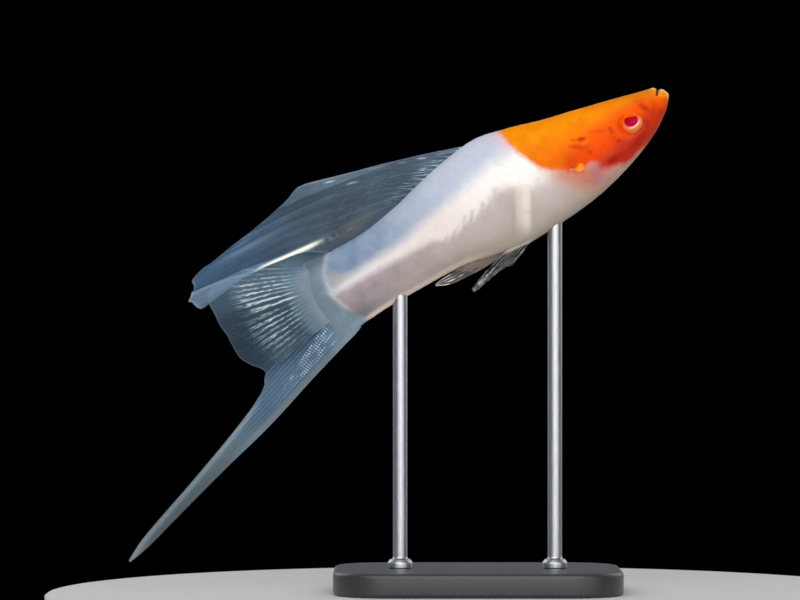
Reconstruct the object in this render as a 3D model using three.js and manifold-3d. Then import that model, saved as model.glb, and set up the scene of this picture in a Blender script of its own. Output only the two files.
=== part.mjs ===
// Male swordtail with long fins: a still, life-size museum model, held by a plain stand.
// Millimetres, +Z up. The origin is the centre of the underside of the stand's base,
// the head points towards +X and the right flank faces -Y.
//
// The fish is laid out in its own frame and then tilted nose up:
//   s  along the body, 0 at the root of the tail fin, 65 at the snout
//   h  upwards, square to s, in the plane of symmetry
//   w  sideways, minus to the right of the fish
import * as THREE from 'three';
import { mergeVertices } from 'three/addons/utils/BufferGeometryUtils.js';
import Module from 'manifold-3d';

const wasm = await Module();
wasm.setup();

// ---------------------------------------------------------------- driving sizes
const TILT = THREE.MathUtils.degToRad(29.85); // nose up
const ROOT_X = -24.6; // world place of s = 0, h = 0
const ROOT_Z = 50.37;
const GAP = 0.3; // clearance between neighbouring solids

const SNOUT = 65.25; // end of the lower jaw
const TAIL_END = -1.1; // end of the fleshy tail root
const SNOUT_ROUNDING = 1.85; // length over which the jaw tip closes

// place:            s     back   belly  half   widest  above  below   (above, below: squareness)
const BODY = {
  tail_end:      [-1.1,   6.1,   -8.75,  0.70,  -1.2,   2.0,   2.0],
  tail_root:     [ 2.0,   5.62,  -7.80,  1.55,  -1.1,   2.0,   2.0],
  tail_wrist:    [ 8.0,   5.50,  -7.35,  2.30,  -0.9,   2.1,   2.0],
  dorsal_end:    [16.0,   6.62,  -7.38,  3.15,  -0.6,   2.1,   2.0],
  anal_base:     [21.0,   7.85,  -7.55,  3.75,  -0.4,   2.1,   2.0],
  vent:          [27.0,   9.20,  -8.75,  4.35,  -0.3,   2.1,   2.0],
  pelvis:        [33.0,   9.90,  -9.80,  4.80,  -0.5,   2.1,   2.05],
  shoulder:      [39.0,   8.75,  -9.55,  5.05,  -0.7,   2.15,  2.1],
  nape:          [45.0,   7.02,  -9.00,  4.95,  -0.9,   2.25,  2.15],
  gill_cover:    [50.0,   5.85,  -7.98,  4.65,  -1.0,   2.35,  2.15],
  cheek:         [54.0,   4.85,  -6.80,  4.25,  -0.9,   2.45,  2.1],
  eye:           [57.6,   3.95,  -5.45,  3.82,  -0.6,   2.6,   2.05],
  snout:         [60.8,   3.10,  -3.88,  3.12,  -0.2,   2.6,   2.0],
  mouth:         [63.4,   2.42,  -2.02,  2.30,   0.2,   2.4,   2.0],
  jaw_tip:       [65.25,  1.40,  -0.55,  1.75,   0.3,   2.2,   2.0],
};
const RINGS = 40; // stations along the body, closest at the snout
const CROWD = 0.82; // how much closer they are there
const RING_SIDES = 32;

const HEAD_CUT = 45.4; // behind the gill cover
const TAIL_CUT = 20.6; // behind the vent

const EYE = { s: 57.35, h: -0.95, radius: 1.95, tall: 0.93, deep: 1.25, proud: 0.5 };
const MOUTH = { s: 63.35, h: 1.1, angle: 47, length: 3.0, wide: 3.4, open: 0.3 };

const FIN_ROOT = 0.9; // thickness of a fin where it meets the body
const FIN_EDGE = 0.5; // and at its margin

const BASE = { length: 48, width: 34, height: 4, corner: 9, bevel: 0.7 };
const ROD = { radius: 1.2, reach: 12.9, sink: 2.4, enter: 1.3, collar: 2.1, collar_height: 1.5 };

// ---------------------------------------------------------------- helpers
// smooth curve through [x, y] pairs that never overshoots them
function curve(pairs) {
  const p = [...pairs].sort((a, b) => a[0] - b[0]);
  const n = p.length;
  const slope = [];
  for (let i = 0; i < n - 1; i++) slope.push((p[i + 1][1] - p[i][1]) / (p[i + 1][0] - p[i][0]));
  const m = [slope[0]];
  for (let i = 1; i < n - 1; i++) {
    const a = slope[i - 1], b = slope[i];
    const da = p[i][0] - p[i - 1][0], db = p[i + 1][0] - p[i][0];
    m.push(a * b <= 0 ? 0 : (3 * (da + db)) / ((2 * db + da) / a + (db + 2 * da) / b));
  }
  m.push(slope[n - 2]);
  return (x) => {
    if (x <= p[0][0]) return p[0][1];
    if (x >= p[n - 1][0]) return p[n - 1][1];
    let i = 0;
    while (x > p[i + 1][0]) i++;
    const d = p[i + 1][0] - p[i][0], t = (x - p[i][0]) / d;
    const t2 = t * t, t3 = t2 * t;
    return (2 * t3 - 3 * t2 + 1) * p[i][1] + (t3 - 2 * t2 + t) * d * m[i]
      + (-2 * t3 + 3 * t2) * p[i + 1][1] + (t3 - t2) * d * m[i + 1];
  };
}

// a path through [s, h] points, as a function of 0..1 along its length
function path(points) {
  const c = new THREE.CatmullRomCurve3(points.map(([s, h]) => new THREE.Vector3(s, h, 0)), false, 'centripetal');
  return (t) => { const v = c.getPointAt(Math.min(1, Math.max(0, t))); return [v.x, v.y]; };
}

const cosT = Math.cos(TILT), sinT = Math.sin(TILT);
const place = (s, h, w) => [ROOT_X + s * cosT - h * sinT, w, ROOT_Z + s * sinT + h * cosT];

function geometry(vertices, faces) {
  const g = new THREE.BufferGeometry();
  g.setAttribute('position', new THREE.Float32BufferAttribute(vertices.flat(), 3));
  g.setIndex(faces.flat());
  return g;
}

function solid(geo) {
  const g = geo.clone();
  g.deleteAttribute('normal');
  g.deleteAttribute('uv');
  const m = mergeVertices(g, 1e-5);
  return new wasm.Manifold(new wasm.Mesh({
    numProp: 3,
    vertProperties: new Float32Array(m.attributes.position.array),
    triVerts: new Uint32Array(m.index.array),
  }));
}

function toGeometry(manifold) {
  const mesh = manifold.getMesh();
  const g = new THREE.BufferGeometry();
  const flat = new Float32Array(mesh.numVert * 3);
  for (let i = 0; i < mesh.numVert; i++)
    for (let k = 0; k < 3; k++) flat[i * 3 + k] = mesh.vertProperties[i * mesh.numProp + k];
  g.setAttribute('position', new THREE.BufferAttribute(flat, 3));
  g.setIndex(new THREE.BufferAttribute(new Uint32Array(mesh.triVerts), 1));
  g.computeVertexNormals();
  return g;
}

// a box laid along the fish: [s0, s1] x [h0, h1] x [w0, w1]
function fishBox(s0, s1, h0, h1, w0, w1) {
  const g = new THREE.BoxGeometry(s1 - s0, w1 - w0, h1 - h0);
  g.translate((s0 + s1) / 2, (w0 + w1) / 2, (h0 + h1) / 2);
  g.rotateY(-TILT);
  g.translate(ROOT_X, 0, ROOT_Z);
  return solid(g);
}

// ---------------------------------------------------------------- body
const rows = Object.values(BODY);
const column = (k) => curve(rows.map((r) => [r[0], r[k]]));
const [backLine, bellyLine, halfLine, widestLine, squareTop, squareBelow] = [1, 2, 3, 4, 5, 6].map(column);

function section(s) {
  const t = Math.max(0, (s - (SNOUT - SNOUT_ROUNDING)) / SNOUT_ROUNDING);
  const close = Math.sqrt(Math.max(0, 1 - t * t));
  const mid = widestLine(s);
  return {
    mid,
    top: mid + (backLine(s) - mid) * close,
    bottom: mid + (bellyLine(s) - mid) * close,
    half: halfLine(s) * close,
    nTop: squareTop(s),
    nBelow: squareBelow(s),
  };
}

const signedPower = (x, p) => Math.sign(x) * Math.abs(x) ** p;

// point of the body's surface; angle 0 is the left side, a quarter turn is the back
function surface(s, angle) {
  const c = section(s);
  const n = Math.sin(angle) >= 0 ? c.nTop : c.nBelow;
  const w = c.half * signedPower(Math.cos(angle), 2 / n);
  const up = signedPower(Math.sin(angle), 2 / n);
  const h = c.mid + (up >= 0 ? up * (c.top - c.mid) : -up * (c.bottom - c.mid));
  return [s, h, w];
}

// half width of the body at a height
function halfAt(s, h) {
  const c = section(s);
  const up = h >= c.mid;
  const n = up ? c.nTop : c.nBelow;
  const reach = up ? c.top - c.mid : c.mid - c.bottom;
  const q = Math.min(1, Math.abs(h - c.mid) / reach);
  return c.half * Math.max(0, 1 - q ** n) ** (1 / n);
}

function bodySolid() {
  const v = [], f = [];
  const length = SNOUT - TAIL_END;
  for (let i = 0; i < RINGS; i++) {
    const back = (RINGS - i) / RINGS;
    const s = SNOUT - length * ((1 - CROWD) * back + CROWD * (1 - Math.cos(back * Math.PI / 2)));
    for (let j = 0; j < RING_SIDES; j++) {
      v.push(place(...surface(s, (j / RING_SIDES) * 2 * Math.PI)));
    }
  }
  const tail = v.length;
  v.push(place(TAIL_END, section(TAIL_END).mid, 0));
  const tip = v.length;
  v.push(place(SNOUT, section(SNOUT).mid, 0));
  const last = (RINGS - 1) * RING_SIDES;
  for (let j = 0; j < RING_SIDES; j++) {
    const k = (j + 1) % RING_SIDES;
    f.push([tail, k, j]);
    f.push([tip, last + j, last + k]);
    for (let i = 0; i < RINGS - 1; i++) {
      const a = i * RING_SIDES + j, b = i * RING_SIDES + k;
      f.push([a, b, b + RING_SIDES], [a, b + RING_SIDES, a + RING_SIDES]);
    }
  }
  return outward(geometry(v, f));
}

// turns a closed geometry's faces outwards
function outward(g) {
  const p = g.attributes.position, idx = g.index.array;
  let volume = 0;
  const a = new THREE.Vector3(), b = new THREE.Vector3(), c = new THREE.Vector3();
  for (let i = 0; i < idx.length; i += 3) {
    a.fromBufferAttribute(p, idx[i]); b.fromBufferAttribute(p, idx[i + 1]); c.fromBufferAttribute(p, idx[i + 2]);
    volume += a.dot(b.cross(c));
  }
  if (volume < 0) for (let i = 0; i < idx.length; i += 3) [idx[i + 1], idx[i + 2]] = [idx[i + 2], idx[i + 1]];
  return g;
}

// ---------------------------------------------------------------- fins
// A fin is a sheet of rays: u runs from its first ray to its last, v from root to margin.
function finSolid(across, along, at, side, thick) {
  const v = [], f = [];
  const id = (i, j, face) => (face * (across + 1) + i) * (along + 1) + j;
  for (const face of [0, 1])
    for (let i = 0; i <= across; i++)
      for (let j = 0; j <= along; j++) {
        const u = i / across, r = j / along;
        const [s, h] = at(u, r);
        v.push(place(s, h, side(u, r, s, h) + (face ? 0.5 : -0.5) * thick(u, r)));
      }
  const quad = (a, b, c, d) => f.push([a, b, c], [a, c, d]);
  for (let i = 0; i < across; i++)
    for (let j = 0; j < along; j++) {
      quad(id(i, j, 0), id(i + 1, j, 0), id(i + 1, j + 1, 0), id(i, j + 1, 0));
      quad(id(i, j + 1, 1), id(i + 1, j + 1, 1), id(i + 1, j, 1), id(i, j, 1));
    }
  for (let i = 0; i < across; i++) {
    quad(id(i, 0, 0), id(i, 0, 1), id(i + 1, 0, 1), id(i + 1, 0, 0));
    quad(id(i + 1, along, 0), id(i + 1, along, 1), id(i, along, 1), id(i, along, 0));
  }
  for (let j = 0; j < along; j++) {
    quad(id(0, j + 1, 0), id(0, j + 1, 1), id(0, j, 1), id(0, j, 0));
    quad(id(across, j, 0), id(across, j, 1), id(across, j + 1, 1), id(across, j + 1, 0));
  }
  return outward(geometry(v, f));
}

// fills in the rays between a first ray, a last ray, a root line and a margin
function rays(first, last, root, margin) {
  const p00 = root(0), p10 = root(1), p01 = margin(0), p11 = margin(1);
  return (u, v) => [0, 1].map((k) =>
    (1 - u) * first(v)[k] + u * last(v)[k] + (1 - v) * root(u)[k] + v * margin(u)[k]
    - ((1 - u) * (1 - v) * p00[k] + u * (1 - v) * p10[k] + (1 - u) * v * p01[k] + u * v * p11[k]));
}
const straight = (a, b) => (t) => [a[0] + (b[0] - a[0]) * t, a[1] + (b[1] - a[1]) * t];
const taper = (from, to) => (u, v) => from + (to - from) * Math.min(1, v * 1.6);

// tall dorsal fin, folded back over the tail and leaning to the right
const bulge = (s) => 6.95 + (9.9 - 6.95) * (s - 17.2) / (31.2 - 17.2); // its root is no lower than this line
const dorsalFirst = path([[31.2, 10.25], [26, 11.45], [20, 13.25], [14, 15.0], [10, 16.05], [7, 16.9], [4.2, 17.5]]);
const dorsalLast = path([[17.2, 7.3], [12, 6.25], [7.5, 5.85], [3.8, 5.9], [1.5, 6.5], [-0.4, 7.8], [-4.2, 8.5], [-11.5, 9.0], [-15, 8.6], [-19, 7.9]]);
const dorsalMargin = path([[4.2, 17.5], [1.2, 16.45], [-5, 15.15], [-14.6, 13.7], [-16.2, 13.6], [-19, 12.8], [-19.4, 12.0], [-20.7, 11.2], [-21.4, 9.9], [-20.8, 8.3], [-19, 7.9]]);
const dorsalRoot = (u) => { const s = 31.2 + (17.2 - 31.2) * u; return [s, Math.max(backLine(s), bulge(s)) + 0.35]; };
const dorsalAt = rays(dorsalFirst, dorsalLast, dorsalRoot, dorsalMargin);
const dorsalLean = (u, v) => -2.7 * v ** 0.85 - 0.55 * Math.sin(Math.PI * 2.6 * u + 0.6) * v * v;

// tail fin: the fan, and the sword that its lowest rays draw out
const fanAt = rays(
  path([[-1.45, 5.75], [-2.2, 7.4], [-5, 9.1], [-10, 10.0], [-15.5, 10.6]]),
  path([[-1.45, -4.35], [-8, -5.25], [-16.3, -6.75]]),
  straight([-1.45, 5.75], [-1.45, -4.35]),
  path([[-15.5, 10.6], [-17.7, 9.7], [-18.45, 7.2], [-18.75, 4.0], [-18.7, 0.0], [-18.45, -2.5], [-17.3, -4.7], [-16.3, -6.75]]));
const fanWave = (u, v) => 0.4 * Math.sin(Math.PI * 3.2 * u) * v * v;

const swordTop = curve([[-1.45, -4.7], [-8, -5.6], [-15.6, -7.05], [-17.6, -8.6], [-20, -10.0], [-25, -12.2], [-35, -15.95], [-48, -20.55], [-51.6, -22.2]]);
const swordBottom = curve([[-1.45, -8.95], [-10, -11.45], [-20, -14.65], [-30, -17.2], [-42, -20.4], [-51.6, -22.75]]);
const swordLength = [-1.45, -51.6];
const swordAt = (u, v) => {
  const s = swordLength[0] + (swordLength[1] - swordLength[0]) * v;
  return [s, swordTop(s) + (swordBottom(s) - swordTop(s)) * u];
};
const swordSweep = (u, v) => 1.6 * v * v * v;

// paired fins; side is -1 on the right of the fish
const pectoralAt = rays(
  path([[45.6, -2.2], [41.5, -0.9], [36.4, 0.1]]),
  path([[45.2, -4.5], [40.5, -7.0], [33.6, -8.9]]),
  straight([45.6, -2.2], [45.2, -4.5]),
  path([[36.4, 0.1], [34.9, -1.7], [33.6, -4.2], [31.7, -7.6], [31.9, -8.7], [33.6, -8.9]]));
const pectoralFlare = (side) => (u, v, s, h) => side * (Math.max(halfAt(s, h), 4.2) + 0.75 + 2.1 * v ** 1.2);

const pelvicAt = (drop) => rays(
  path([[33.3, -10.35], [31.0, -10.9], [28.6, -11.25 - drop]]),
  path([[30.6, -10.1], [26.5, -10.35 - drop / 2], [22.6, -11.05 - drop]]),
  straight([33.3, -10.35], [30.6, -10.1]),
  path([[28.6, -11.25 - drop], [27.0, -10.95 - drop], [24.5, -11.25 - drop], [20.9, -11.85 - drop], [22.6, -11.05 - drop]]));
const pelvicSide = (side) => (u, v) => side * (1.35 + 0.5 * v);

const rodAt = (centre, tall, wide) => (u, v) => [centre(v)[0], centre(v)[1] + (u - 0.5) * tall(v)];
const gonopodiumPath = path([[27.9, -9.55], [25, -9.15], [22, -8.75], [19, -8.5], [15.7, -8.15]]);
const gonopodiumTall = curve([[0, 0.5], [0.24, 1.0], [0.485, 1.5], [0.73, 1.4], [1, 0.5]]);

// ---------------------------------------------------------------- eyes
function eyeGeometry(side, grow = 0) {
  const g = new THREE.SphereGeometry(1, 18, 10);
  g.rotateX(Math.PI / 2);
  g.scale(EYE.radius + grow, EYE.deep + grow, EYE.radius * EYE.tall + grow);
  g.rotateY(-TILT);
  const c = place(EYE.s, EYE.h, side * (halfAt(EYE.s, EYE.h) + EYE.proud - EYE.deep));
  g.translate(...c);
  return g;
}

// ---------------------------------------------------------------- stand
const rodTops = [-1, 1].map((end) => {
  // where a plumb line through the rod meets the belly
  const x = end * ROD.reach;
  let s = 20;
  for (let i = 0; i < 60; i++) s = (x - ROOT_X + bellyLine(s) * sinT) / cosT;
  return { x, z: place(s, bellyLine(s), 0)[2] };
});

function rodGeometry(top, grow = 0) {
  const foot = BASE.height - ROD.sink - grow, head = top.z + ROD.enter + grow;
  const r = ROD.radius + grow, c = ROD.collar;
  const profile = grow
    ? [[0, foot], [r, foot], [r, head], [0, head]]
    : [[0, foot], [r, foot], [r, BASE.height + GAP], [c, BASE.height + GAP], [c, BASE.height + 1.0],
      [c - 0.35, BASE.height + ROD.collar_height], [r, BASE.height + ROD.collar_height + 0.25],
      [r, head - 0.35], [r - 0.35, head], [0, head]];
  const g = new THREE.LatheGeometry(profile.map(([x, y]) => new THREE.Vector2(x, y)), 20);
  g.rotateX(Math.PI / 2);
  g.translate(top.x, 0, 0);
  return g;
}

function baseGeometry() {
  const { length: l, width: w, corner: c, bevel: b, height } = BASE;
  const shape = new THREE.Shape();
  const x = l / 2 - b, y = w / 2 - b, r = c - b;
  shape.moveTo(-x + r, -y);
  shape.lineTo(x - r, -y).absarc(x - r, -y + r, r, -Math.PI / 2, 0, false);
  shape.lineTo(x, y - r).absarc(x - r, y - r, r, 0, Math.PI / 2, false);
  shape.lineTo(-x + r, y).absarc(-x + r, y - r, r, Math.PI / 2, Math.PI, false);
  shape.lineTo(-x, -y + r).absarc(-x + r, -y + r, r, Math.PI, Math.PI * 1.5, false);
  const g = new THREE.ExtrudeGeometry(shape, {
    depth: height - 2 * b, bevelEnabled: true, bevelSize: b, bevelThickness: b, bevelSegments: 2, curveSegments: 7,
  });
  g.translate(0, 0, b);
  return g;
}

// ---------------------------------------------------------------- assembly
const group = new THREE.Group();
group.name = 'swordtail';

function add(name, geo, colour, roughness, metalness = 0) {
  const mesh = new THREE.Mesh(geo, new THREE.MeshStandardMaterial({ color: colour, roughness, metalness }));
  mesh.name = name;
  group.add(mesh);
}

const PEARL = 0xe6e0e2, CAP = 0xf6901c, FIN = 0xaebccb, IRIS = 0xf2c3c4, STEEL = 0xb4b7ba, SATIN = 0x26282b;

const [rodRear, rodFront] = rodTops;
const eyeSockets = [-1, 1].map((side) => solid(eyeGeometry(side, GAP)));
const flesh = solid(bodySolid());

const mouthCut = (() => {
  const g = new THREE.BoxGeometry(MOUTH.length, MOUTH.wide, MOUTH.open);
  g.translate(MOUTH.length / 2, 0, 0);
  g.rotateY(-THREE.MathUtils.degToRad(MOUTH.angle));
  g.translate(MOUTH.s, 0, MOUTH.h);
  g.rotateY(-TILT);
  g.translate(ROOT_X, 0, ROOT_Z);
  return solid(g);
})();

const head = flesh.intersect(fishBox(HEAD_CUT + GAP / 2, 70, -20, 20, -10, 10))
  .subtract(eyeSockets[0]).subtract(eyeSockets[1]).subtract(mouthCut);
const trunk = flesh.intersect(fishBox(TAIL_CUT + GAP / 2, HEAD_CUT - GAP / 2, -20, 20, -10, 10))
  .subtract(solid(rodGeometry(rodFront, GAP)));
const tail = flesh.intersect(fishBox(-10, TAIL_CUT - GAP / 2, -20, 20, -10, 10))
  .subtract(solid(rodGeometry(rodRear, GAP)));

add('head', toGeometry(head), CAP, 0.45);
add('trunk', toGeometry(trunk), PEARL, 0.4);
add('tail', toGeometry(tail), PEARL, 0.4);
add('eye_right', eyeGeometry(-1), IRIS, 0.1);
add('eye_left', eyeGeometry(1), IRIS, 0.1);

add('dorsal_fin', finSolid(18, 14, dorsalAt, dorsalLean, taper(FIN_ROOT, FIN_EDGE)), FIN, 0.5);
add('caudal_fin', finSolid(16, 9, fanAt, fanWave, taper(1.2, FIN_EDGE)), FIN, 0.5);
add('sword', finSolid(4, 28, swordAt, swordSweep, taper(1.2, FIN_EDGE)), FIN, 0.5);
for (const [name, side] of [['right', -1], ['left', 1]]) {
  add(`pectoral_fin_${name}`, finSolid(8, 6, pectoralAt, pectoralFlare(side), taper(0.8, FIN_EDGE)), FIN, 0.5);
  add(`pelvic_fin_${name}`, finSolid(6, 7, pelvicAt(side > 0 ? 0.35 : 0), pelvicSide(side), taper(0.8, FIN_EDGE)), FIN, 0.5);
}
add('gonopodium', finSolid(4, 12, rodAt(gonopodiumPath, gonopodiumTall), () => 0,
  (u, v) => (1.1 - 0.6 * v) * (0.62 + 0.38 * Math.sin(Math.PI * (0.15 + 0.7 * u)))), FIN, 0.5);

add('stand_base', toGeometry(solid(baseGeometry())
  .subtract(solid(rodGeometry(rodRear, GAP))).subtract(solid(rodGeometry(rodFront, GAP)))), SATIN, 0.4, 0.3);
add('stand_rod_rear', rodGeometry(rodRear), STEEL, 0.35, 0.9);
add('stand_rod_front', rodGeometry(rodFront), STEEL, 0.35, 0.9);

export default group;
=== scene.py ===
"""Looks for the life-size male swordtail on its stand.

Everything is laid out in the fish's own frame and then tilted nose up, as the solids are:
  s  along the body in mm, 0 at the root of the tail fin, 65 at the snout
  h  upwards in mm, square to s, in the plane of symmetry
  w  sideways in mm, minus to the right of the fish, which faces the camera
"""
import math

import bpy
import numpy as np
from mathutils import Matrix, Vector


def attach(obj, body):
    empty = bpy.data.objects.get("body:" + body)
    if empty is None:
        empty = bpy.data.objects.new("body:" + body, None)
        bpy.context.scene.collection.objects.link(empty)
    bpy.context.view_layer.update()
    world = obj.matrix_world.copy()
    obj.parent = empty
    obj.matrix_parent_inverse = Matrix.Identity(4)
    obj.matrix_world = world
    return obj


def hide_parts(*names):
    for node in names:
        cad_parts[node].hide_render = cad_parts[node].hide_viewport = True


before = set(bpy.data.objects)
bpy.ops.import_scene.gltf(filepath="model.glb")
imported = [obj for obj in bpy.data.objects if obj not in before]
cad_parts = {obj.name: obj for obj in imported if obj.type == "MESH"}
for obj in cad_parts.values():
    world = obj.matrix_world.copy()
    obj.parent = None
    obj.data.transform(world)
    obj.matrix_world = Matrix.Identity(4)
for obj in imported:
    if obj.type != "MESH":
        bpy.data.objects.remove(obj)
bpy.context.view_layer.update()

# ------------------------------------------------------------------ sizes
TILT = math.radians(29.85)
ROOT_X, ROOT_Z = -24.6, 50.37
SNOUT, ROUND = 65.25, 1.85
COS, SIN = math.cos(TILT), math.sin(TILT)
MM = 0.001

# place:      s     back   belly  half  widest above below
BODY = [
    (-3.6, 6.15, -9.30, 0.15, -1.3, 2.0, 2.0),
    (-1.1, 6.10, -8.75, 0.70, -1.2, 2.0, 2.0),
    (2.0, 5.62, -7.80, 1.55, -1.1, 2.0, 2.0),
    (8.0, 5.50, -7.35, 2.30, -0.9, 2.1, 2.0),
    (16.0, 6.62, -7.38, 3.15, -0.6, 2.1, 2.0),
    (21.0, 7.85, -7.55, 3.75, -0.4, 2.1, 2.0),
    (27.0, 9.20, -8.75, 4.35, -0.3, 2.1, 2.0),
    (33.0, 9.90, -9.80, 4.80, -0.5, 2.1, 2.05),
    (39.0, 8.75, -9.55, 5.05, -0.7, 2.15, 2.1),
    (45.0, 7.02, -9.00, 4.95, -0.9, 2.25, 2.15),
    (50.0, 5.85, -7.98, 4.65, -1.0, 2.35, 2.15),
    (54.0, 4.85, -6.80, 4.25, -0.9, 2.45, 2.1),
    (57.6, 3.95, -5.45, 3.82, -0.6, 2.6, 2.05),
    (60.8, 3.10, -3.88, 3.12, -0.2, 2.6, 2.0),
    (63.4, 2.42, -2.02, 2.30, 0.2, 2.4, 2.0),
    (65.25, 1.40, -0.55, 1.75, 0.3, 2.2, 2.0),
]
FLESH_END = BODY[0][0]
EYE = dict(s=57.35, h=-0.95, radius=1.95, tall=0.93, deep=1.25, proud=0.5)
ORBIT = dict(s=57.38, h=-0.95, long=1.66, tall=1.50, lid_h=0.46, lid_slope=-0.37)  # the opening that the eye shows through, and the upper lid's line at its middle
PUPIL = dict(s=57.37, h=-0.50, long=1.18, tall=1.02)


# ------------------------------------------------------------------ helpers
def srgb(r, g, b):
    """Linear colour from 0-255 screen values."""
    c = np.array([r, g, b], float) / 255
    return np.where(c <= 0.04045, c / 12.92, ((c + 0.055) / 1.055) ** 2.4)


def smooth(x, a, b):
    t = np.clip((np.asarray(x, float) - a) / (b - a), 0, 1)
    return t * t * (3 - 2 * t)


def bell(x, width):
    return np.exp(-((np.asarray(x, float) / width) ** 2))


def patch(s, h, at_s, at_h, long, tall, turn=0.0):
    """A soft oval mark centred at (at_s, at_h), turned by some degrees."""
    c, d = math.cos(math.radians(turn)), math.sin(math.radians(turn))
    x, y = (s - at_s) * c + (h - at_h) * d, -(s - at_s) * d + (h - at_h) * c
    return smooth(np.hypot(x / long, y / tall), 1.25, 0.55)


def curve(pairs):
    """Smooth curve through (x, y) pairs that never overshoots them."""
    p = sorted(pairs)
    x = np.array([a[0] for a in p], float)
    y = np.array([a[1] for a in p], float)
    d = np.diff(x)
    k = np.diff(y) / d
    m = np.empty_like(x)
    m[0], m[-1] = k[0], k[-1]
    for i in range(1, len(x) - 1):
        a, b = k[i - 1], k[i]
        m[i] = 0 if a * b <= 0 else 3 * (d[i - 1] + d[i]) / ((2 * d[i] + d[i - 1]) / a + (d[i] + 2 * d[i - 1]) / b)

    def at(q):
        q = np.clip(np.asarray(q, float), x[0], x[-1])
        i = np.clip(np.searchsorted(x, q, side="right") - 1, 0, len(x) - 2)
        t = (q - x[i]) / d[i]
        t2, t3 = t * t, t * t * t
        return (
            (2 * t3 - 3 * t2 + 1) * y[i]
            + (t3 - 2 * t2 + t) * d[i] * m[i]
            + (3 * t2 - 2 * t3) * y[i + 1]
            + (t3 - t2) * d[i] * m[i + 1]
        )

    return at


def path(points):
    """Centripetal spline through (s, h) points, as a function of 0..1 along its length."""
    p = np.array(points, float)
    p = np.vstack([2 * p[0] - p[1], p, 2 * p[-1] - p[-2]])
    out = []
    t = np.linspace(0, 1, 41)[:, None]
    for i in range(1, len(p) - 2):
        x0, x1, x2, x3 = p[i - 1], p[i], p[i + 1], p[i + 2]
        d0, d1, d2 = (np.linalg.norm(b - a) ** 0.5 for a, b in ((x0, x1), (x1, x2), (x2, x3)))
        m1 = ((x1 - x0) / d0 - (x2 - x0) / (d0 + d1) + (x2 - x1) / d1) * d1
        m2 = ((x2 - x1) / d1 - (x3 - x1) / (d1 + d2) + (x3 - x2) / d2) * d1
        seg = (2 * t**3 - 3 * t**2 + 1) * x1 + (t**3 - 2 * t**2 + t) * m1 + (3 * t**2 - 2 * t**3) * x2 + (t**3 - t**2) * m2
        out.append(seg if i == 1 else seg[1:])
    q = np.vstack(out)
    length = np.concatenate([[0], np.cumsum(np.linalg.norm(np.diff(q, axis=0), axis=1))])
    length /= length[-1]

    def at(u):
        u = np.clip(np.asarray(u, float), 0, 1)
        return np.stack([np.interp(u, length, q[:, 0]), np.interp(u, length, q[:, 1])], -1)

    return at


def straight(a, b):
    a, b = np.array(a, float), np.array(b, float)
    return lambda u: a + (b - a) * np.asarray(u, float)[..., None]


def along(S, H, points):
    """Distance from each (s, h) to a line of points, which side of it (plus on its left), and how far along it."""
    p = np.array(points, float)
    best = np.full(S.shape, 1e9)
    side = np.zeros(S.shape)
    far = np.zeros(S.shape)
    run = 0.0
    for a, b in zip(p[:-1], p[1:]):
        d = b - a
        n = np.hypot(*d)
        t = np.clip(((S - a[0]) * d[0] + (H - a[1]) * d[1]) / n**2, 0, 1)
        x, y = S - a[0] - t * d[0], H - a[1] - t * d[1]
        r = np.hypot(x, y)
        near = r < best
        best = np.where(near, r, best)
        side = np.where(near, np.sign(d[0] * (H - a[1]) - d[1] * (S - a[0])), side)
        far = np.where(near, run + t * n, far)
        run += n
    return best, side, far / run


def row_noise(seed, rows, cells):
    """Smooth noise of 0..1 along each of many rows, such as the fin rays."""
    table = np.random.default_rng(seed).random((rows, cells + 1))

    def at(row, x):
        row = np.clip(np.asarray(row), 0, rows - 1).astype(int)
        x = np.clip(np.asarray(x, float), 0, 1) * (cells - 0.001)
        i = x.astype(int)
        f = x - i
        f = f * f * (3 - 2 * f)
        return table[row, i] * (1 - f) + table[row, i + 1] * f

    return at


def place(s, h, w):
    """World place in metres."""
    s, h, w = np.broadcast_arrays(s, h, w)
    return np.stack([ROOT_X + s * COS - h * SIN, w, ROOT_Z + s * SIN + h * COS], -1) * MM


def new_mesh(name, co, quads=(), tris=(), uv=None, marks=None, rings=None):
    """A mesh object from arrays: uv is one (u, v) per vertex, marks are values per vertex for the material.
    rings numbers the vertices round a plate's edge: the edges between those of one number are shaded sharp."""
    quads = np.asarray(quads, np.int64).reshape(-1, 4)
    tris = np.asarray(tris, np.int64).reshape(-1, 3)
    me = bpy.data.meshes.new(name)
    me.vertices.add(len(co))
    me.vertices.foreach_set("co", np.asarray(co, np.float32).ravel())
    loops = np.concatenate([quads.ravel(), tris.ravel()]).astype(np.int32)
    me.loops.add(len(loops))
    me.loops.foreach_set("vertex_index", loops)
    starts = np.concatenate([np.arange(len(quads)) * 4, len(quads) * 4 + np.arange(len(tris)) * 3]).astype(np.int32)
    me.polygons.add(len(starts))
    me.polygons.foreach_set("loop_start", starts)
    me.update(calc_edges=True)
    me.polygons.foreach_set("use_smooth", np.ones(len(starts), bool))
    if uv is not None:
        layer = me.uv_layers.new(name="OFBake")
        layer.data.foreach_set("uv", np.asarray(uv, np.float32)[loops].ravel())
    for key, values in (marks or {}).items():
        me.attributes.new(key, "FLOAT", "POINT").data.foreach_set("value", np.asarray(values, np.float32).ravel())
    if rings is not None:
        ends = np.empty(len(me.edges) * 2, np.int32)
        me.edges.foreach_get("vertices", ends)
        a, b = rings[ends[0::2]], rings[ends[1::2]]
        me.attributes.new("sharp_edge", "BOOLEAN", "EDGE").data.foreach_set("value", (a == b) & (a != 0))
    me.update()
    ob = bpy.data.objects.new(name, me)
    bpy.context.scene.collection.objects.link(ob)
    return outward(ob)


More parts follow.
